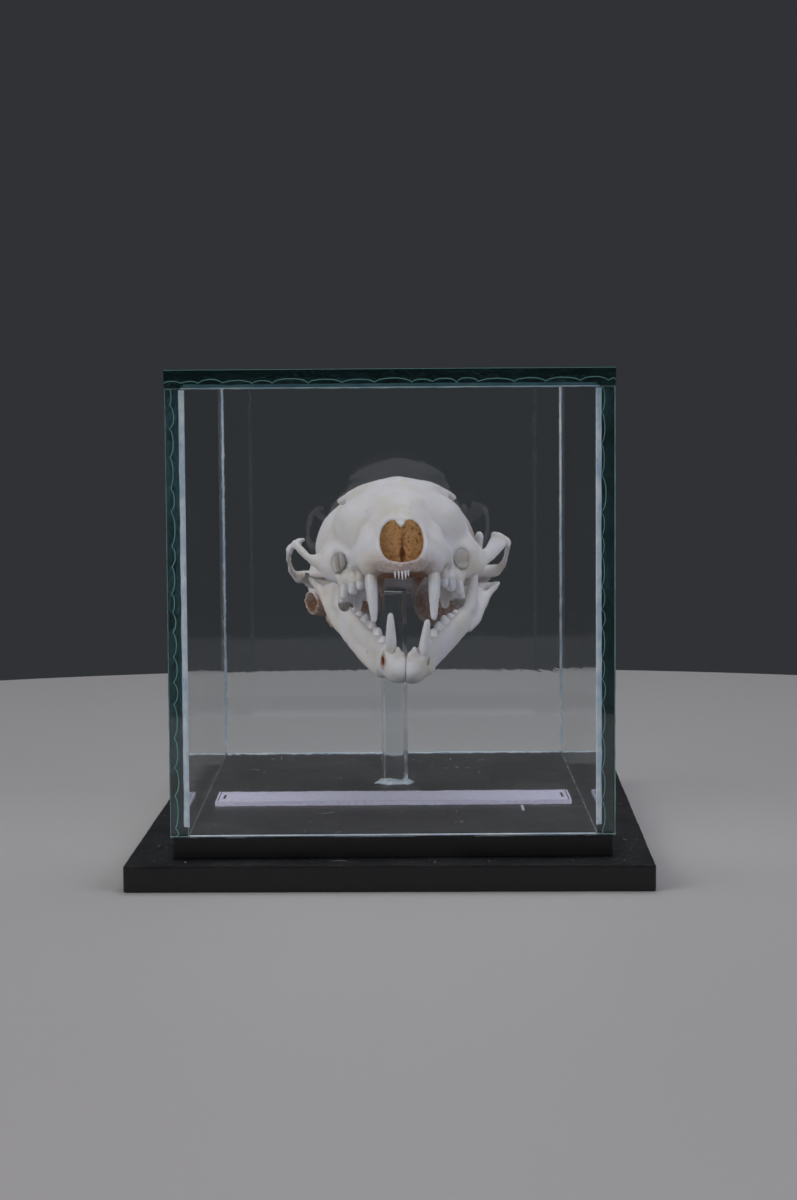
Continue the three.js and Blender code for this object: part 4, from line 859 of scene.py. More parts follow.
def makeJawHalf(side):
    sign = 1 if side == "left" else -1
    field = newField(**jawSize)
    addShapes(field, jawLimbs, bothSides=False)
    if side == "right":
        limb(field, rightJawEdge, soft=0.8)
    ripple(field, 0.05, 3.7 if side == "left" else 4.1)
    addShapes(field, jawCuts, into=cut, bothSides=False)
    # flat, rough face where the two halves meet
    spans, x, y, z = blockOf(field, (-0.6, -28.6, -5.6), (3.0, -18.0, 6.0))
    seam = 0.025 + 0.02 * np.sin(y * 5.0 + z * 3.0) * np.sin(z * 6.0 - y * 2.0)
    cut(field, spans, (x - seam).astype(np.float32) + np.zeros_like(field["values"][spans]), 0.06)
    points, quads = surfaceOf(field)
    # painted shade in the hollows, with the brown marks
    marks = {"recess": hollowness(field, points, 0.7, 2.4),
             "stain": strongestMark(points, jawStains + sideStains[side])}
    if sign < 0:
        points, quads = points * np.array([-1, 1, 1]), quads[:, ::-1]
    bone = meshObject("jawBone" + side.capitalize(), points, quads, jawPose, boneMat, marks)
    own = lowerCanine[side]
    rise = own["tip"] - own["neck"]
    canine = [(own["x"] + own["lean"] * along, -25.3 - 0.5 * along * (1.2 - along),
               own["neck"] + rise * along, half, half * 1.2) for along, half in canineStops]
    surfaces = [toothSurface([canine], 1, sign)]
    surfaces += [toothSurface(tooth, 1, sign) for tooth in lowerTeeth]
    points, faces, neck = joinSurfaces(surfaces)
    teeth = meshObject("lowerTeeth" + side.capitalize(), points, faces, jawPose, enamelMat, {"neck": neck})
    return bone, teeth


for side in ("left", "right"):
    for piece in makeJawHalf(side):
        place(piece, "bone", "mandible_" + side)
        print(piece.name + ":", len(piece.data.polygons), "faces")


# Low and high corner of a solid of the part, in mm
def boxOf(nodeName):
    return tuple(np.array(corner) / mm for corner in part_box(nodeName))


# The built mesh as a piece with its materials
def pieceFrom(build, name, *materials):
    bmesh.ops.recalc_face_normals(build, faces=build.faces)
    mesh = bpy.data.meshes.new(name)
    build.to_mesh(mesh)
    build.free()
    for material in materials:
        mesh.materials.append(material)
    return newObject(name, mesh)


# Faces from ring to ring, each step in its own material slot, and a face over each end
def skinRings(build, rings, slots=None):
    for step, (a, b) in enumerate(zip(rings, rings[1:])):
        for i in range(len(a)):
            j = (i + 1) % len(a)
            face = build.faces.new((a[i], a[j], b[j], b[i]))
            face.material_index = slots[step] if slots else 0
    build.faces.new(rings[0][::-1])
    build.faces.new(rings[-1])


# Geometry Nodes helpers: a tree with named inputs, its end, and a plain mesh from its result

def newTree(name, floats, integers=(), hasInput=False):
    tree = bpy.data.node_groups.new(name, "GeometryNodeTree")
    if hasInput:
        tree.interface.new_socket("Geometry", in_out="INPUT", socket_type="NodeSocketGeometry")
    for labels, kind in ((floats, "NodeSocketFloat"), (integers, "NodeSocketInt")):
        for label in labels:
            tree.interface.new_socket(label, in_out="INPUT", socket_type=kind)
    tree.interface.new_socket("Geometry", in_out="OUTPUT", socket_type="NodeSocketGeometry")
    return tree, tree.nodes.new("NodeGroupInput").outputs


def endTree(tree, geometry, material):
    real = addNode(tree, "GeometryNodeRealizeInstances", {"Geometry": geometry})
    smooth = addNode(tree, "GeometryNodeSetShadeSmooth", {"Geometry": real})
    painted = addNode(tree, "GeometryNodeSetMaterial", {"Geometry": smooth, "Material": material})
    addNode(tree, "NodeGroupOutput", {"Geometry": painted})


def meshFromTree(name, tree, sizes, source=None, pose=None):
    carrier = newObject(name + "Carrier", source or bpy.data.meshes.new(name + "Source"))
    modifier = carrier.modifiers.new("nodes", "NODES")
    modifier.node_group = tree
    for item in tree.interface.items_tree:
        if item.in_out == "INPUT" and item.name in sizes:
            modifier[item.identifier] = sizes[item.name]
    graph = bpy.context.evaluated_depsgraph_get()
    mesh = bpy.data.meshes.new_from_object(carrier.evaluated_get(graph))
    mesh.name = name
    bpy.data.objects.remove(carrier)
    if pose is not None:
        mesh.transform(pose)
    return newObject(name, mesh)


# Materials of the case

# Clear things: noise stands for smears, waves or scratches and drives the roughness and the bump.
# Light goes straight through in shadow, so that the case doesn't darken the skull.
def clearMaterial(name, look):
    material, tree, where = newMaterial(name)
    if "stretch" in look:
        where = addNode(tree, "ShaderNodeMapping", {"Vector": where, "Scale": look["stretch"]})
    marks = addNode(tree, "ShaderNodeTexNoise",
                    {"Vector": where, "Scale": 1000 / look["markSize"], **look["marks"]})
    roughness = addNode(tree, "ShaderNodeMapRange", {"Value": marks, **look["roughness"]})
    bump = addNode(tree, "ShaderNodeBump", {"Height": marks, **look["bump"]})
    shader = addNode(tree, "ShaderNodeBsdfPrincipled",
                     {"Base Color": linear(look["tint"]), "Transmission Weight": look["through"],
                      "IOR": look["ior"], "Roughness": roughness, "Normal": bump})
    isShadow = addNode(tree, "ShaderNodeLightPath").outputs["Is Shadow Ray"]
    clear = addNode(tree, "ShaderNodeBsdfTransparent", {"Color": (0.93, 0.95, 0.945, 1)})
    return finished(material, addNode(tree, "ShaderNodeMixShader", {0: isShadow, 1: shader, 2: clear}))


# Clear float glass: nearly colourless and sharp, with finger smears that only soften it a little.
glassLook = {"tint": "#fafcfc", "through": 1.0, "ior": 1.52, "markSize": 14.0,
             "marks": {"Detail": 6.0, "Roughness": 0.7, "Distortion": 1.2},
             "roughness": {"From Min": 0.5, "From Max": 0.8, "To Min": 0.0, "To Max": 0.05},
             "bump": {"Strength": 0.05, "Distance": 0.0001}}
# The pane's cut edge: the glass's own green gathers there, dark and glossy, with fine wave marks.
edgeLook = {"tint": "#142e2e", "through": 0.8, "ior": 1.52, "markSize": 0.6,
            "marks": {"Detail": 3.0, "Distortion": 0.6}, "roughness": {"To Min": 0.04, "To Max": 0.2},
            "bump": {"Strength": 0.6, "Distance": 0.00008}}
# The sharp ridge at the end of the cutter's breaks: a thin pale teal line, bright with light.
ridgeLook = {**edgeLook, "tint": "#7fb9b4", "through": 0.25, "markSize": 0.25,
             "roughness": {"To Min": 0.25, "To Max": 0.5}}
# Cast acrylic rod: clear and a little grey, with saw marks across and fine scratches along it.
acrylicLook = {"tint": "#eef2f4", "through": 1.0, "ior": 1.49, "markSize": 0.3, "stretch": (1.0, 1.0, 0.06),
               "marks": {"Detail": 4.0, "Roughness": 0.7},
               "roughness": {"From Min": 0.45, "From Max": 0.75, "To Min": 0.02, "To Max": 0.2},
               "bump": {"Strength": 0.2, "Distance": 0.00005}}

glassMat = clearMaterial("floatGlass", glassLook)
cutEdgeMat = clearMaterial("cutGlassEdge", edgeLook)
ridgeMat = clearMaterial("glassEdgeRidge", ridgeLook)
acrylicMat = clearMaterial("castAcrylic", acrylicLook)


# Hardened glue, milky and blue grey: light gets in but not through, over tiny bubbles.
glueLook = {"body": "#b2c9dc", "pale": "#e8f0f8", "patchSize": 2.2, "bubbleSize": 0.35}


def glueMaterial(name, look):
    material, tree, where = newMaterial(name)
    patches = addNode(tree, "ShaderNodeTexNoise",
                      {"Vector": where, "Scale": 1000 / look["patchSize"], "Detail": 5.0, "Roughness": 0.65})
    mask = addNode(tree, "ShaderNodeMapRange", {"Value": patches, "From Min": 0.35, "From Max": 0.65})
    colour = addNode(tree, "ShaderNodeMix", {0: mask, 6: linear(look["body"]), 7: linear(look["pale"])},
                     data_type="RGBA")
    bubbles = addNode(tree, "ShaderNodeTexVoronoi", {"Vector": where, "Scale": 1000 / look["bubbleSize"]})
    bump = addNode(tree, "ShaderNodeBump", {"Height": bubbles, "Strength": 0.3, "Distance": 0.0001})
    roughness = addNode(tree, "ShaderNodeMapRange", {"Value": patches, "To Min": 0.2, "To Max": 0.5})
    shader = addNode(tree, "ShaderNodeBsdfPrincipled",
                     {"Base Color": colour, "Transmission Weight": 0.06, "IOR": 1.48,
                      "Roughness": roughness, "Normal": bump, "Subsurface Weight": 0.4,
                      "Subsurface Radius": (0.8, 1.0, 1.1), "Subsurface Scale": 0.0006})
    return finished(material, shader)


glueMat = glueMaterial("milkyGlue", glueLook)


# Black styrene sheet, satin from the roll, with dull grey dust over it that is thicker in patches.
styreneLook = {"body": "#0d0e10", "dust": "#77797c", "grainSize": 0.45, "patchSize": 9.0, "dustShare": 0.30}


def styreneMaterial(name, look):
    material, tree, where = newMaterial(name)
    grain = addNode(tree, "ShaderNodeTexNoise",
                    {"Vector": where, "Scale": 1000 / look["grainSize"], "Detail": 3.0, "Roughness": 0.6})
    patches = addNode(tree, "ShaderNodeTexNoise",
                      {"Vector": where, "Scale": 1000 / look["patchSize"], "Detail": 4.0, "Roughness": 0.6})
    level = addNode(tree, "ShaderNodeSeparateXYZ",
                    {"Vector": addNode(tree, "ShaderNodeNewGeometry").outputs["Normal"]})
    upward = addNode(tree, "ShaderNodeMapRange",
                     {"Value": level.outputs["Z"], "From Min": 0.3, "From Max": 0.95})
    speck = addNode(tree, "ShaderNodeMapRange", {"Value": grain, "From Min": 0.44, "From Max": 0.72})
    cover = addNode(tree, "ShaderNodeMath", {0: speck, 1: patches}, operation="MULTIPLY")
    laid = addNode(tree, "ShaderNodeMath", {0: cover, 1: upward}, operation="MULTIPLY")
    share = addNode(tree, "ShaderNodeMapRange",
                    {"Value": laid, "From Min": 0.0, "From Max": 0.6, "To Min": 0.0,
                     "To Max": look["dustShare"]})
    colour = addNode(tree, "ShaderNodeMix", {0: share, 6: linear(look["body"]), 7: linear(look["dust"])},
                     data_type="RGBA")
    roughness = addNode(tree, "ShaderNodeMapRange",
                        {"Value": patches, "From Min": 0.3, "From Max": 0.7, "To Min": 0.32,
                         "To Max": 0.55})
    bump = addNode(tree, "ShaderNodeBump", {"Height": grain, "Strength": 0.25, "Distance": 0.00006})
    shader = addNode(tree, "ShaderNodeBsdfPrincipled",
                     {"Base Color": colour, "Roughness": roughness, "Normal": bump, "IOR": 1.55})
    return finished(material, shader)


styreneMat = styreneMaterial("blackStyrene", styreneLook)
print("materials for the case made")


# Glass panes. The cutter left a row of shell-shaped breaks along one rim of each cut edge; the
# thin ridge where the shells end catches the light, and so does the other rim. Sizes in mm.

paneSize = {
    "sample": 0.2,  # distance between points along an edge
    "shellLength": (1.9, 4.3),
    "shellFoot": 0.45,  # where two shells meet, across the pane's thickness
    "shellRise": 0.55,
    "chipDepth": (0.04, 0.14),  # into the pane
    "ridge": 0.085,
    "rim": 0.05,
    "seeds": {"case_front": 3, "case_back": 5, "case_left": 8, "case_right": 13, "case_top": 21},
}


# How far across the thickness the shells reach at each point of an edge, and how deep they bite
def shellRow(chance, length, count, sizes):
    across, bite = np.zeros(count), np.zeros(count)
    at = 0.0
    s = (np.arange(count) + 0.5) / count * length
    while at < length:
        bay = chance.uniform(*sizes["shellLength"])
        rise = sizes["shellRise"] * chance.uniform(0.7, 1.1) * min(bay / 2.6, 1)
        u = (s - at) / bay
        inside = (u >= 0) & (u < 1)
        arc = np.sqrt(np.clip(1 - (2 * u[inside] - 1) ** 2, 0, 1))
        across[inside] = sizes["shellFoot"] + rise * arc
        bite[inside] = chance.uniform(*sizes["chipDepth"]) * (0.4 + 0.6 * arc)
        at += bay
    return across + chance.uniform(-0.015, 0.015, count), bite


def makePane(nodeName, sizes):
    low, high = boxOf(nodeName)
    span = high - low
    thin = int(span.argmin())
    wide = [i for i in range(3) if i != thin]
    chance = np.random.RandomState(sizes["seeds"][nodeName])
    corners = [(0, 0), (1, 0), (1, 1), (0, 1)]
    outline, inward, shells, bites = [], [], [], []
    for side in range(4):
        start, end = (np.array([low[wide[k]] + corners[turn % 4][k] * span[wide[k]] for k in range(2)])
                      for turn in (side, side + 1))
        length = np.linalg.norm(end - start)
        count = int(round(length / sizes["sample"]))
        along = (end - start) / length
        into = np.array([-along[1], along[0]])
        outline.append(start + np.outer(np.arange(count) / count, end - start))
        direction = np.tile(into, (count, 1))
        direction[0] = into + np.array([into[1], -into[0]])
        inward.append(direction)
        across, bite = shellRow(chance, length, count, sizes)
        shells.append(across)
        bites.append(bite)
    outline, inward = np.vstack(outline), np.vstack(inward)
    shells, bites = np.concatenate(shells), np.concatenate(bites)
    thick, flush = span[thin], np.zeros(len(outline))
    ease = np.full(len(outline), 0.03)
    rows = [(flush, bites), (shells - sizes["ridge"], bites * 0.25), (shells, flush),
            (flush + thick - sizes["rim"], flush), (flush + thick, ease)]
    build = bmesh.new()
    rings = []
    for across, inset in rows:
        ring = np.zeros((len(outline), 3))
        ring[:, wide] = outline + inward * inset[:, None]
        ring[:, thin] = low[thin] + across
        rings.append([build.verts.new(point * mm) for point in ring])
    skinRings(build, rings, slots=(1, 2, 1, 2))
    return pieceFrom(build, nodeName + "Pane", glassMat, cutEdgeMat, ridgeMat)


for nodeName in paneSize["seeds"]:
    place(makePane(nodeName, paneSize), "case_glass", nodeName)
print("glass panes made")


# Glue beads in the case's inner corners, made by Geometry Nodes: a hollow-faced section swept
# along a line, swelling a little on its way

beadSize = {"step": 0.35, "hollow": 0.5, "swell": 0.14, "wave": 2.6}


def makeBeadTree(material):
    tree, given = newTree("glueBead", ["Length", "Size", "Hollow", "Step", "Swell", "Wave", "Seed"])
    end = addNode(tree, "ShaderNodeCombineXYZ", {"X": given["Length"]})
    line = addNode(tree, "GeometryNodeCurvePrimitiveLine", {"End": end})
    fine = addNode(tree, "GeometryNodeResampleCurve", {"Curve": line, "Length": given["Step"]},
                   mode="LENGTH")
    noise = addNode(tree, "ShaderNodeTexNoise", {"W": given["Seed"], "Scale": given["Wave"], "Detail": 3.0},
                    noise_dimensions="4D")
    least = addNode(tree, "ShaderNodeMath", {0: 1.0, 1: given["Swell"]}, operation="SUBTRACT")
    swell = addNode(tree, "ShaderNodeMapRange",
                    {"Value": noise, "From Min": 0.3, "From Max": 0.7, "To Min": least})
    hollowAt = addNode(tree, "ShaderNodeMath", {0: given["Size"], 1: given["Hollow"]}, operation="MULTIPLY")
    section = addNode(tree, "GeometryNodeCurvePrimitiveQuadrilateral",
                      {"Point 1": (0.0, 0.0, 0.0),
                       "Point 2": addNode(tree, "ShaderNodeCombineXYZ", {"X": given["Size"]}),
                       "Point 3": addNode(tree, "ShaderNodeCombineXYZ", {"X": hollowAt, "Y": hollowAt}),
                       "Point 4": addNode(tree, "ShaderNodeCombineXYZ", {"Y": given["Size"]})},
                      mode="POINTS")
    rounded = addNode(tree, "GeometryNodeFilletCurve",
                      {"Curve": section, "Count": 3,
                       "Radius": addNode(tree, "ShaderNodeMath", {0: given["Size"], 1: 0.16},
                                         operation="MULTIPLY")}, mode="POLY")
    swept = addNode(tree, "GeometryNodeCurveToMesh",
                    {"Curve": fine, "Profile Curve": rounded, "Fill Caps": True, "Scale": swell})
    endTree(tree, swept, material)
    return tree


beadTree = makeBeadTree(glueMat)


# A bead's line starts at `start`; its section fills the corner between the two directions.
def makeBead(name, start, directionA, directionB, length, size, seed):
    along = Vector(directionA).cross(Vector(directionB))
    turn = Matrix((along, Vector(directionA), Vector(directionB))).transposed().to_4x4()
    sizes = {"Length": length * mm, "Size": size * mm, "Step": beadSize["step"] * mm, "Seed": float(seed),
             "Hollow": beadSize["hollow"], "Swell": beadSize["swell"], "Wave": 1000 / beadSize["wave"]}
    return meshFromTree(name, beadTree, sizes, pose=Matrix.Translation(Vector(start) * mm) @ turn)


def makeCornerBead(nodeName, seed):
    low, high = boxOf(nodeName)
    left, front = (low + high)[:2] < 0
    x, y = low[0] if left else high[0], low[1] if front else high[1]
    inward = (0, 1 if front else -1, 0)
    if nodeName.startswith("bead_floor"):
        start, along = (low[0] if front else high[0], y, low[2]), 0
        directions = inward, (0, 0, 1)
    else:
        start, along = (x, y, low[2] if left == front else high[2]), 2
        directions = (1 if left else -1, 0, 0), inward
    return makeBead(nodeName + "Glue", start, *directions, (high - low)[along], min(high - low), seed)


for seed, nodeName in enumerate(["bead_front_left", "bead_front_right", "bead_back_left", "bead_back_right",
                                 "bead_floor_front", "bead_floor_back"]):
    place(makeCornerBead(nodeName, seed), "glue", nodeName)

# thin beads under the top pane and where the side panes meet the floor
innerLeft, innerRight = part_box("case_left")[1][0] / mm + 0.05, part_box("case_right")[0][0] / mm - 0.05
innerFront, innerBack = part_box("case_front")[1][1] / mm + 0.05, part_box("case_back")[0][1] / mm - 0.05
underLid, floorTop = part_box("case_front")[1][2] / mm - 0.02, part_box("plinth")[1][2] / mm + 0.02
lidBeads = {
    "lidFront": ((innerRight, innerFront, underLid), (0, 1, 0), (0, 0, -1), innerRight - innerLeft, 0.75),
    "lidBack": ((innerLeft, innerBack, underLid), (0, -1, 0), (0, 0, -1), innerRight - innerLeft, 0.6),
    "lidLeft": ((innerLeft, innerFront, underLid), (1, 0, 0), (0, 0, -1), innerBack - innerFront, 0.55),
    "lidRight": ((innerRight, innerBack, underLid), (-1, 0, 0), (0, 0, -1), innerBack - innerFront, 0.55),
    "floorLeft": ((innerLeft, innerBack, floorTop), (1, 0, 0), (0, 0, 1), innerBack - innerFront, 0.6),
    "floorRight": ((innerRight, innerFront, floorTop), (-1, 0, 0), (0, 0, 1), innerBack - innerFront, 0.6),
}
for seed, (name, (start, directionA, directionB, length, size)) in enumerate(lidBeads.items()):
    place(makeBead(name + "Glue", start, directionA, directionB, length, size, seed + 20), "glue")

# a drip on the floor in front of the label
drip = {"x": 15.3, "beforeLabel": 4.6, "length": 3.8, "size": 0.5}
dripStart = (drip["x"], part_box("label")[0][1] / mm - drip["beforeLabel"], floorTop)
place(makeBead("glueDrip", dripStart, (0, 0, 1), (1, 0, 0), drip["length"], drip["size"], 31), "glue")
print("glue beads made")


# Rod: a square bar with eased edges and a rough sawn top

rodSize = {"side": 2.8, "turn": -13, "ease": 0.12, "at": (-0.15, 6.6)}


# A point given beside the rod's middle line, turned with the rod, in metres
def onRod(x, y, z):
    turn = math.radians(rodSize["turn"])
    return ((rodSize["at"][0] + x * math.cos(turn) - y * math.sin(turn)) * mm,
            (rodSize["at"][1] + x * math.sin(turn) + y * math.cos(turn)) * mm, z * mm)


def makeRod(sizes):
    low, high = boxOf("mounting_rod")
    half, ease = sizes["side"] / 2, sizes["ease"]
    section = []
    for quarter in range(4):
        for part in range(4):
            angle = math.radians(90 * quarter + 30 * part)
            cx = (half - ease) * (1 if quarter in (0, 3) else -1)
            cy = (half - ease) * (1 if quarter in (0, 1) else -1)
            section.append((cx + ease * math.cos(angle), cy + ease * math.sin(angle)))
    heights = [low[2] + 0.02, low[2] + 0.1, *np.linspace(low[2] + 0.5, high[2] - 0.4, 24),
               high[2] - 0.1, high[2]]
    build = bmesh.new()
    rings = []
    for k, height in enumerate(heights):
        shrink = 0.96 if k in (0, len(heights) - 1) else 1.0
        ring = []
        for x, y in section:
            wave = 1 + 0.004 * math.sin(height * 1.7 + 3 * x)
            px, py = x * shrink * wave, y * shrink * wave
            rise = 0.05 * math.sin(px * 4.1) * math.sin(py * 3.3) if k >= len(heights) - 2 else 0
            ring.append(build.verts.new(onRod(px, py, height + rise)))
        rings.append(ring)
    skinRings(build, rings)
    return pieceFrom(build, "acrylicRod", acrylicMat)


place(makeRod(rodSize), "clear_acrylic", "mounting_rod")


# Glue around the rod's foot: a low uneven ring that climbs the rod
footSize = {"inner": 1.2, "outer": 2.75, "squash": 0.9, "height": 0.42, "rows": 9, "around": 72}


def makeRodFoot(sizes):
    chance = np.random.RandomState(11)
    angles = np.arange(sizes["around"]) / sizes["around"] * 2 * math.pi
    edge = 1 + sum(chance.uniform(0.01, 0.05) * np.sin(n * angles + chance.uniform(0, 6))
                   for n in range(2, 8))
    edge /= edge.max()
    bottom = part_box("rod_foot")[0][2] / mm
    build = bmesh.new()
    rings = []
    for row in range(sizes["rows"]):
        share = row / (sizes["rows"] - 1)
        radius = (sizes["outer"] + (sizes["inner"] - sizes["outer"]) * share) * (edge if share < 0.9 else 1)
        climb = np.sin(min(share * 1.5, 1) * math.pi / 2)
        height = sizes["height"] * climb * (0.85 + 0.15 * np.sin(3 * angles + 1))
        x, y = radius * np.cos(angles), radius * np.sin(angles) * sizes["squash"]
        rings.append([build.verts.new(onRod(px, py, bottom + pz)) for px, py, pz in zip(x, y, height)])
    skinRings(build, rings)
    for face in build.faces:
        face.smooth = True
    return pieceFrom(build, "rodFootGlue", glueMat)


place(makeRodFoot(footSize), "glue", "rod_foot")


# Base plate and plinth: sawn styrene sheets with eased edges

def makeSheet(name, width, depth, low, high, middle, turn, ease):
    build = bmesh.new()
    bmesh.ops.create_cube(build, size=1)
    for vert in build.verts:
        x, y, z = vert.co
        vert.co = Vector((x * width, y * depth, low + (z + 0.5) * (high - low))) * mm
    bmesh.ops.bevel(build, geom=build.edges[:], offset=ease * mm, segments=3, profile=0.6, affect="EDGES")
    # fine waves along the sawn edges
    bmesh.ops.subdivide_edges(build, edges=[e for e in build.edges if e.calc_length() > 5 * mm], cuts=60,
                              use_grid_fill=True)
    for vert in build.verts:
        x, y, z = vert.co / mm
        wave = 0.03 * math.sin(x * 0.9 + y * 0.7) * math.sin(x * 0.31 - y * 0.43)
        if abs(abs(x) - width / 2) < ease:
            vert.co.x -= math.copysign((0.03 + wave) * mm, x)
        if abs(abs(y) - depth / 2) < ease:
            vert.co.y -= math.copysign((0.03 + wave) * mm, y)
    pose = Matrix.Translation(Vector(middle + (0,)) * mm) @ Matrix.Rotation(math.radians(turn), 4, "Z")
    bmesh.ops.transform(build, matrix=pose, verts=build.verts)
    return pieceFrom(build, name, styreneMat)


baseSize = {"width": 59, "depth": 79, "turn": -1.2, "ease": 0.3}
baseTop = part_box("base_plate")[1][2] / mm
place(makeSheet("basePlate", low=0, high=baseTop, middle=(0, 0), **baseSize), "black_plastic", "base_plate")

plinthLow, plinthHigh = boxOf("plinth")
plinthSheet = makeSheet("plinthSheet", *(plinthHigh - plinthLow)[:2], plinthLow[2], plinthHigh[2],
                        middle=tuple(((plinthLow + plinthHigh) / 2)[:2]), turn=0, ease=0.15)
place(plinthSheet, "black_plastic", "plinth")


# Label: a strip of card, bare, with a thin printed border and a short tick near each end

labelSize = {"border": 0.3, "line": 0.12, "tickIn": 0.95, "tick": 0.3, "tickLength": 3.2}
labelLow, labelHigh = boxOf("label")
labelMiddle = (labelLow + labelHigh) / 2
labelHalf = (labelHigh - labelLow) / 2

# Matt label card, laser printed: white with a lavender cast, soft fibre bumps, black toner lines.
cardLook = {"card": "#e2e0f4", "edge": "#c4c2dc", "toner": "#1c1b24", "fibreSize": 0.4}


def cardMaterial(name, look, sizes):
    material, tree, where = newMaterial(name)
    middle = addNode(tree, "ShaderNodeMapping", {"Vector": where, "Location": tuple(-labelMiddle * mm)})
    apart = addNode(tree, "ShaderNodeSeparateXYZ", {"Vector": middle})
    x = addNode(tree, "ShaderNodeMath", {0: apart.outputs["X"]}, operation="ABSOLUTE")
    y = addNode(tree, "ShaderNodeMath", {0: apart.outputs["Y"]}, operation="ABSOLUTE")
    # distance in from the border line, along each side
    half = sizes["line"] * mm / 2
    lines = []
    for value, limit, lineHalf in ((x, labelHalf[0] - sizes["border"], half),
                                   (y, labelHalf[1] - sizes["border"], half),
                                   (x, labelHalf[0] - sizes["tickIn"], sizes["tick"] * mm / 2)):
        lines.append(addNode(tree, "ShaderNodeMath", {0: value, 1: limit * mm, 2: lineHalf},
                             operation="COMPARE"))
    withinX = addNode(tree, "ShaderNodeMath", {0: x, 1: (labelHalf[0] - sizes["border"]) * mm + half},
                      operation="LESS_THAN")
    withinY = addNode(tree, "ShaderNodeMath", {0: y, 1: (labelHalf[1] - sizes["border"]) * mm + half},
                      operation="LESS_THAN")
    tickY = addNode(tree, "ShaderNodeMath", {0: y, 1: sizes["tickLength"] / 2 * mm}, operation="LESS_THAN")
    tick = addNode(tree, "ShaderNodeMath", {0: lines[2], 1: tickY}, operation="MULTIPLY")
    border = addNode(tree, "ShaderNodeMath", {0: lines[0], 1: lines[1]}, operation="MAXIMUM")
    inside = addNode(tree, "ShaderNodeMath", {0: withinX, 1: withinY}, operation="MULTIPLY")
    framed = addNode(tree, "ShaderNodeMath", {0: border, 1: inside}, operation="MULTIPLY")
    ink = addNode(tree, "ShaderNodeMath", {0: framed, 1: tick}, operation="MAXIMUM")
    fibres = addNode(tree, "ShaderNodeTexNoise",
                     {"Vector": where, "Scale": 1000 / look["fibreSize"], "Detail": 4.0, "Roughness": 0.7})
    tone = addNode(tree, "ShaderNodeMapRange", {"Value": fibres, "From Min": 0.35, "From Max": 0.75})
    card = addNode(tree, "ShaderNodeMix", {0: tone, 6: linear(look["card"]), 7: linear(look["edge"])},
                   data_type="RGBA")
    printed = addNode(tree, "ShaderNodeMix", {0: ink, 6: card, 7: linear(look["toner"])}, data_type="RGBA")
    bump = addNode(tree, "ShaderNodeBump", {"Height": fibres, "Strength": 0.2, "Distance": 0.00005})
    roughness = addNode(tree, "ShaderNodeMapRange", {"Value": ink, "To Min": 0.8, "To Max": 0.45})
    shader = addNode(tree, "ShaderNodeBsdfPrincipled",
                     {"Base Color": printed, "Roughness": roughness, "Normal": bump,
                      "Subsurface Weight": 0.1, "Subsurface Scale": 0.0003})
    return finished(material, shader)


cardMat = cardMaterial("labelCard", cardLook, labelSize)


def makeLabel():
    build = bmesh.new()
    columns, rows = 44, 8
    top, bottom = {}, {}
    for i in range(columns + 1):
        for j in range(rows + 1):
            u, v = i / columns * 2 - 1, j / rows * 2 - 1
            x, y = labelMiddle[0] + labelHalf[0] * u, labelMiddle[1] + labelHalf[1] * v
            # the card dips a little between its glued places and its cut edge is not quite straight
            dip = 0.03 * (math.cos(u * 9) + 1) * (1 - 0.4 * v * v)
            if abs(v) == 1:
                y += -v * (0.02 + 0.02 * math.sin(i * 1.7))
            if abs(u) == 1:
                x += -u * (0.02 + 0.02 * math.sin(j * 2.3))
            top[i, j] = build.verts.new((x * mm, y * mm, (labelHigh[2] - dip) * mm))
            bottom[i, j] = build.verts.new((x * mm, y * mm, labelLow[2] * mm))
    for i in range(columns):
        for j in range(rows):
            square = [(i, j), (i + 1, j), (i + 1, j + 1), (i, j + 1)]
            build.faces.new([top[corner] for corner in square])
            build.faces.new([bottom[corner] for corner in square[::-1]])
    border = [(i, 0) for i in range(columns)] + [(columns, j) for j in range(rows)]
    border += [(columns - i, rows - j) for i, j in border]
    for a, b in zip(border, border[1:] + border[:1]):
        build.faces.new((bottom[a], bottom[b], top[b], top[a]))
    return pieceFrom(build, "labelStrip", cardMat)


place(makeLabel(), "label_paper", "label")
print("rod, base, plinth and label made")


# Dust and lint on the base plate and the case floor, scattered by Geometry Nodes

dustSize = {"perSquareCm": 9.0, "flake": 0.07, "lintPerSquareCm": 0.5, "lintLength": 1.4,
            "lintWidth": 0.018}

# House dust: pale grey flecks and fibres, quite matt.
dustLook = {"fleck": "#b9b8b4"}


def dustMaterial(name, look):
    material, tree, where = newMaterial(name)
    tone = addNode(tree, "ShaderNodeTexNoise", {"Vector": where, "Scale": 900.0, "Detail": 2.0})
    roughness = addNode(tree, "ShaderNodeMapRange", {"Value": tone, "To Min": 0.7, "To Max": 0.95})
    shader = addNode(tree, "ShaderNodeBsdfPrincipled",
                     {"Base Color": linear(look["fleck"]), "Roughness": roughness})
    return finished(material, shader)


dustMat = dustMaterial("houseDust", dustLook)


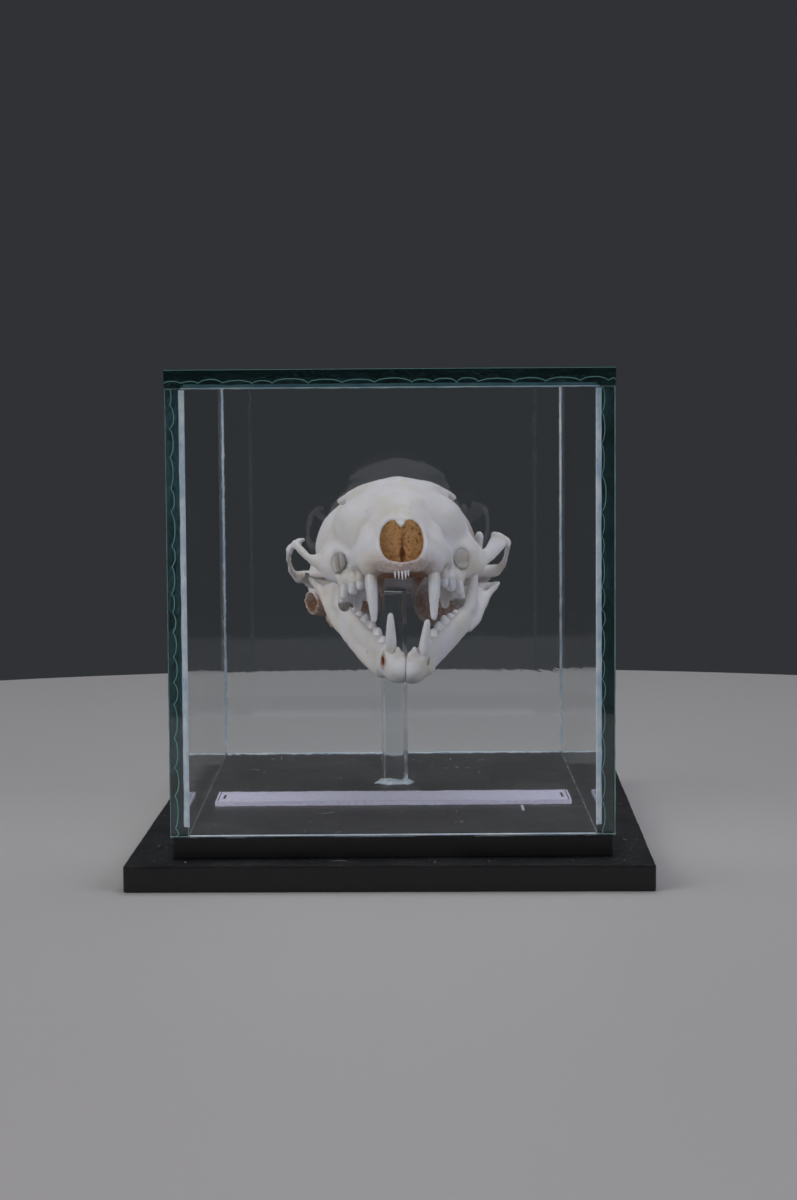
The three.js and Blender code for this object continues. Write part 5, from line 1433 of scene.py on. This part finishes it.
def makeDustTree(material):
    tree, given = newTree("dust", ["Density", "Flake", "Lint Density", "Lint Length", "Lint Width"], ["Seed"],
                          hasInput=True)
    spots = addNode(tree, "GeometryNodeDistributePointsOnFaces",
                    {"Mesh": given["Geometry"], "Density": given["Density"], "Seed": given["Seed"]})
    fleck = addNode(tree, "GeometryNodeMeshIcoSphere", {"Radius": given["Flake"], "Subdivisions": 1})
    size = addNode(tree, "FunctionNodeRandomValue", {2: 0.25, 3: 1.0, "Seed": given["Seed"]},
                   data_type="FLOAT")
    squash = addNode(tree, "ShaderNodeCombineXYZ", {"X": size, "Y": size, "Z": size})
    turn = addNode(tree, "FunctionNodeRandomValue", {0: (0.0, 0.0, 0.0), 1: (6.28, 6.28, 6.28)},
                   data_type="FLOAT_VECTOR")
    flecks = addNode(tree, "GeometryNodeInstanceOnPoints",
                     {"Points": spots, "Instance": fleck, "Rotation": turn, "Scale": squash})
    places = addNode(tree, "GeometryNodeDistributePointsOnFaces",
                     {"Mesh": given["Geometry"], "Density": given["Lint Density"], "Seed": given["Seed"]})
    start = addNode(tree, "ShaderNodeVectorMath", {0: (-0.5, 0.0, 0.0), "Scale": given["Lint Length"]},
                    operation="SCALE")
    bend = addNode(tree, "ShaderNodeVectorMath", {0: (0.0, 0.35, 0.04), "Scale": given["Lint Length"]},
                   operation="SCALE")
    finish = addNode(tree, "ShaderNodeVectorMath", {0: (0.5, 0.1, 0.0), "Scale": given["Lint Length"]},
                     operation="SCALE")
    arc = addNode(tree, "GeometryNodeCurveQuadraticBezier",
                  {"Start": start, "Middle": bend, "End": finish, "Resolution": 8})
    ring = addNode(tree, "GeometryNodeCurvePrimitiveCircle",
                   {"Resolution": 4, "Radius": given["Lint Width"]}, mode="RADIUS")
    thread = addNode(tree, "GeometryNodeCurveToMesh",
                     {"Curve": arc, "Profile Curve": ring, "Fill Caps": True})
    spin = addNode(tree, "FunctionNodeRandomValue", {0: (0.0, 0.0, 0.0), 1: (0.12, 0.12, 6.28)},
                   data_type="FLOAT_VECTOR")
    long = addNode(tree, "FunctionNodeRandomValue", {2: 0.4, 3: 1.2}, data_type="FLOAT")
    threads = addNode(tree, "GeometryNodeInstanceOnPoints",
                      {"Points": places, "Instance": thread, "Rotation": spin, "Scale": long})
    both = addNode(tree, "GeometryNodeJoinGeometry", {"Geometry": [flecks, threads]})
    endTree(tree, both, material)
    return tree


dustTree = makeDustTree(dustMat)


# A flat sheet of rectangles that dust settles on, each given as low and high corners and a height
def restingMesh(rectangles, turn=0.0):
    build = bmesh.new()
    for x0, y0, x1, y1, z in rectangles:
        build.faces.new([build.verts.new(Vector((x, y, z)) * mm)
                         for x, y in ((x0, y0), (x1, y0), (x1, y1), (x0, y1))])
    bmesh.ops.rotate(build, verts=build.verts, matrix=Matrix.Rotation(math.radians(turn), 3, "Z"))
    mesh = bpy.data.meshes.new("resting")
    build.to_mesh(mesh)
    build.free()
    return mesh


def makeDust(name, rectangles, turn, seed, density):
    sizes = {"Density": dustSize["perSquareCm"] * density * 1e4, "Flake": dustSize["flake"] * mm,
             "Lint Density": dustSize["lintPerSquareCm"] * density * 1e4,
             "Lint Length": dustSize["lintLength"] * mm, "Lint Width": dustSize["lintWidth"] * mm,
             "Seed": seed}
    return meshFromTree(name, dustTree, sizes, restingMesh(rectangles, turn))


# dust on the base plate around the case, then on the case floor clear of the label and the rod
clear = 0.8
halfWidth, halfDepth = baseSize["width"] / 2 - clear, baseSize["depth"] / 2 - clear
caseHalfX, caseHalfY = 25.9, 35.9
rimTop = baseTop + 0.02
place(makeDust("baseDust", [(-halfWidth, -halfDepth, halfWidth, -caseHalfY, rimTop),
                            (-halfWidth, caseHalfY, halfWidth, halfDepth, rimTop),
                            (-halfWidth, -caseHalfY, -caseHalfX, caseHalfY, rimTop),
                            (caseHalfX, -caseHalfY, halfWidth, caseHalfY, rimTop)],
               turn=baseSize["turn"], seed=7, density=1.6), "label_paper")
left, right, front, back = innerLeft + 1, innerRight - 1, innerFront + 1, innerBack - 1
place(makeDust("floorDust", [(left, front, right, labelLow[1] - 0.3, floorTop),
                             (left, labelHigh[1] + 0.3, right, 3.5, floorTop),
                             (left, 9.8, right, back, floorTop)],
               turn=0, seed=19, density=0.9), "label_paper")
print("dust made")


# Floor, light and the dim room behind

studioSet = {"floor": "#eae9e6", "room": "#303235", "floorRadius": 190, "lightsAim": (0, -5, 30)}


# Painted board for the floor: pale, matt, with a faint roller texture
def boardMaterial(name):
    material, tree, where = newMaterial(name)
    roller = addNode(tree, "ShaderNodeTexNoise", {"Vector": where, "Scale": 600.0, "Detail": 2.0})
    bump = addNode(tree, "ShaderNodeBump", {"Height": roller, "Strength": 0.08, "Distance": 0.0001})
    shader = addNode(tree, "ShaderNodeBsdfPrincipled",
                     {"Base Color": linear(studioSet["floor"]), "Roughness": 0.55, "Normal": bump})
    return finished(material, shader)


build = bmesh.new()
bmesh.ops.create_circle(build, cap_ends=True, radius=studioSet["floorRadius"] * mm, segments=256)
floorMesh = bpy.data.meshes.new("studioFloor")
build.to_mesh(floorMesh)
build.free()
floorMesh.materials.append(boardMaterial("paintedBoard"))
studioFloor = newObject("studioFloor", floorMesh)

room = bpy.data.worlds.new("studioRoom")
room.use_nodes = True
background = room.node_tree.nodes["Background"].inputs
background["Color"].default_value = linear(studioSet["room"])
background["Strength"].default_value = 1.0
scene.world = room

studioLights = {
    "keyLight": {"at": (-430, -310, 250), "size": 420, "watts": 0.95, "colour": "#fffafa"},
    "fillLight": {"at": (430, -300, 240), "size": 380, "watts": 0.68, "colour": "#f2f2ff"},
    "topLight": {"at": (40, 160, 520), "size": 360, "watts": 0.6, "colour": "#f8f6ff"},
}
for name, look in studioLights.items():
    data = bpy.data.lights.new(name, "AREA")
    data.size = look["size"] * mm
    data.energy = look["watts"]
    data.color = linear(look["colour"])[:3]
    light = newObject(name, data)
    at = Vector(look["at"]) * mm
    facing = (Vector(studioSet["lightsAim"]) * mm - at).to_track_quat("-Z", "Y")
    light.matrix_world = Matrix.Translation(at) @ facing.to_matrix().to_4x4()
scene.view_settings.view_transform = "Standard"

print("scene made")
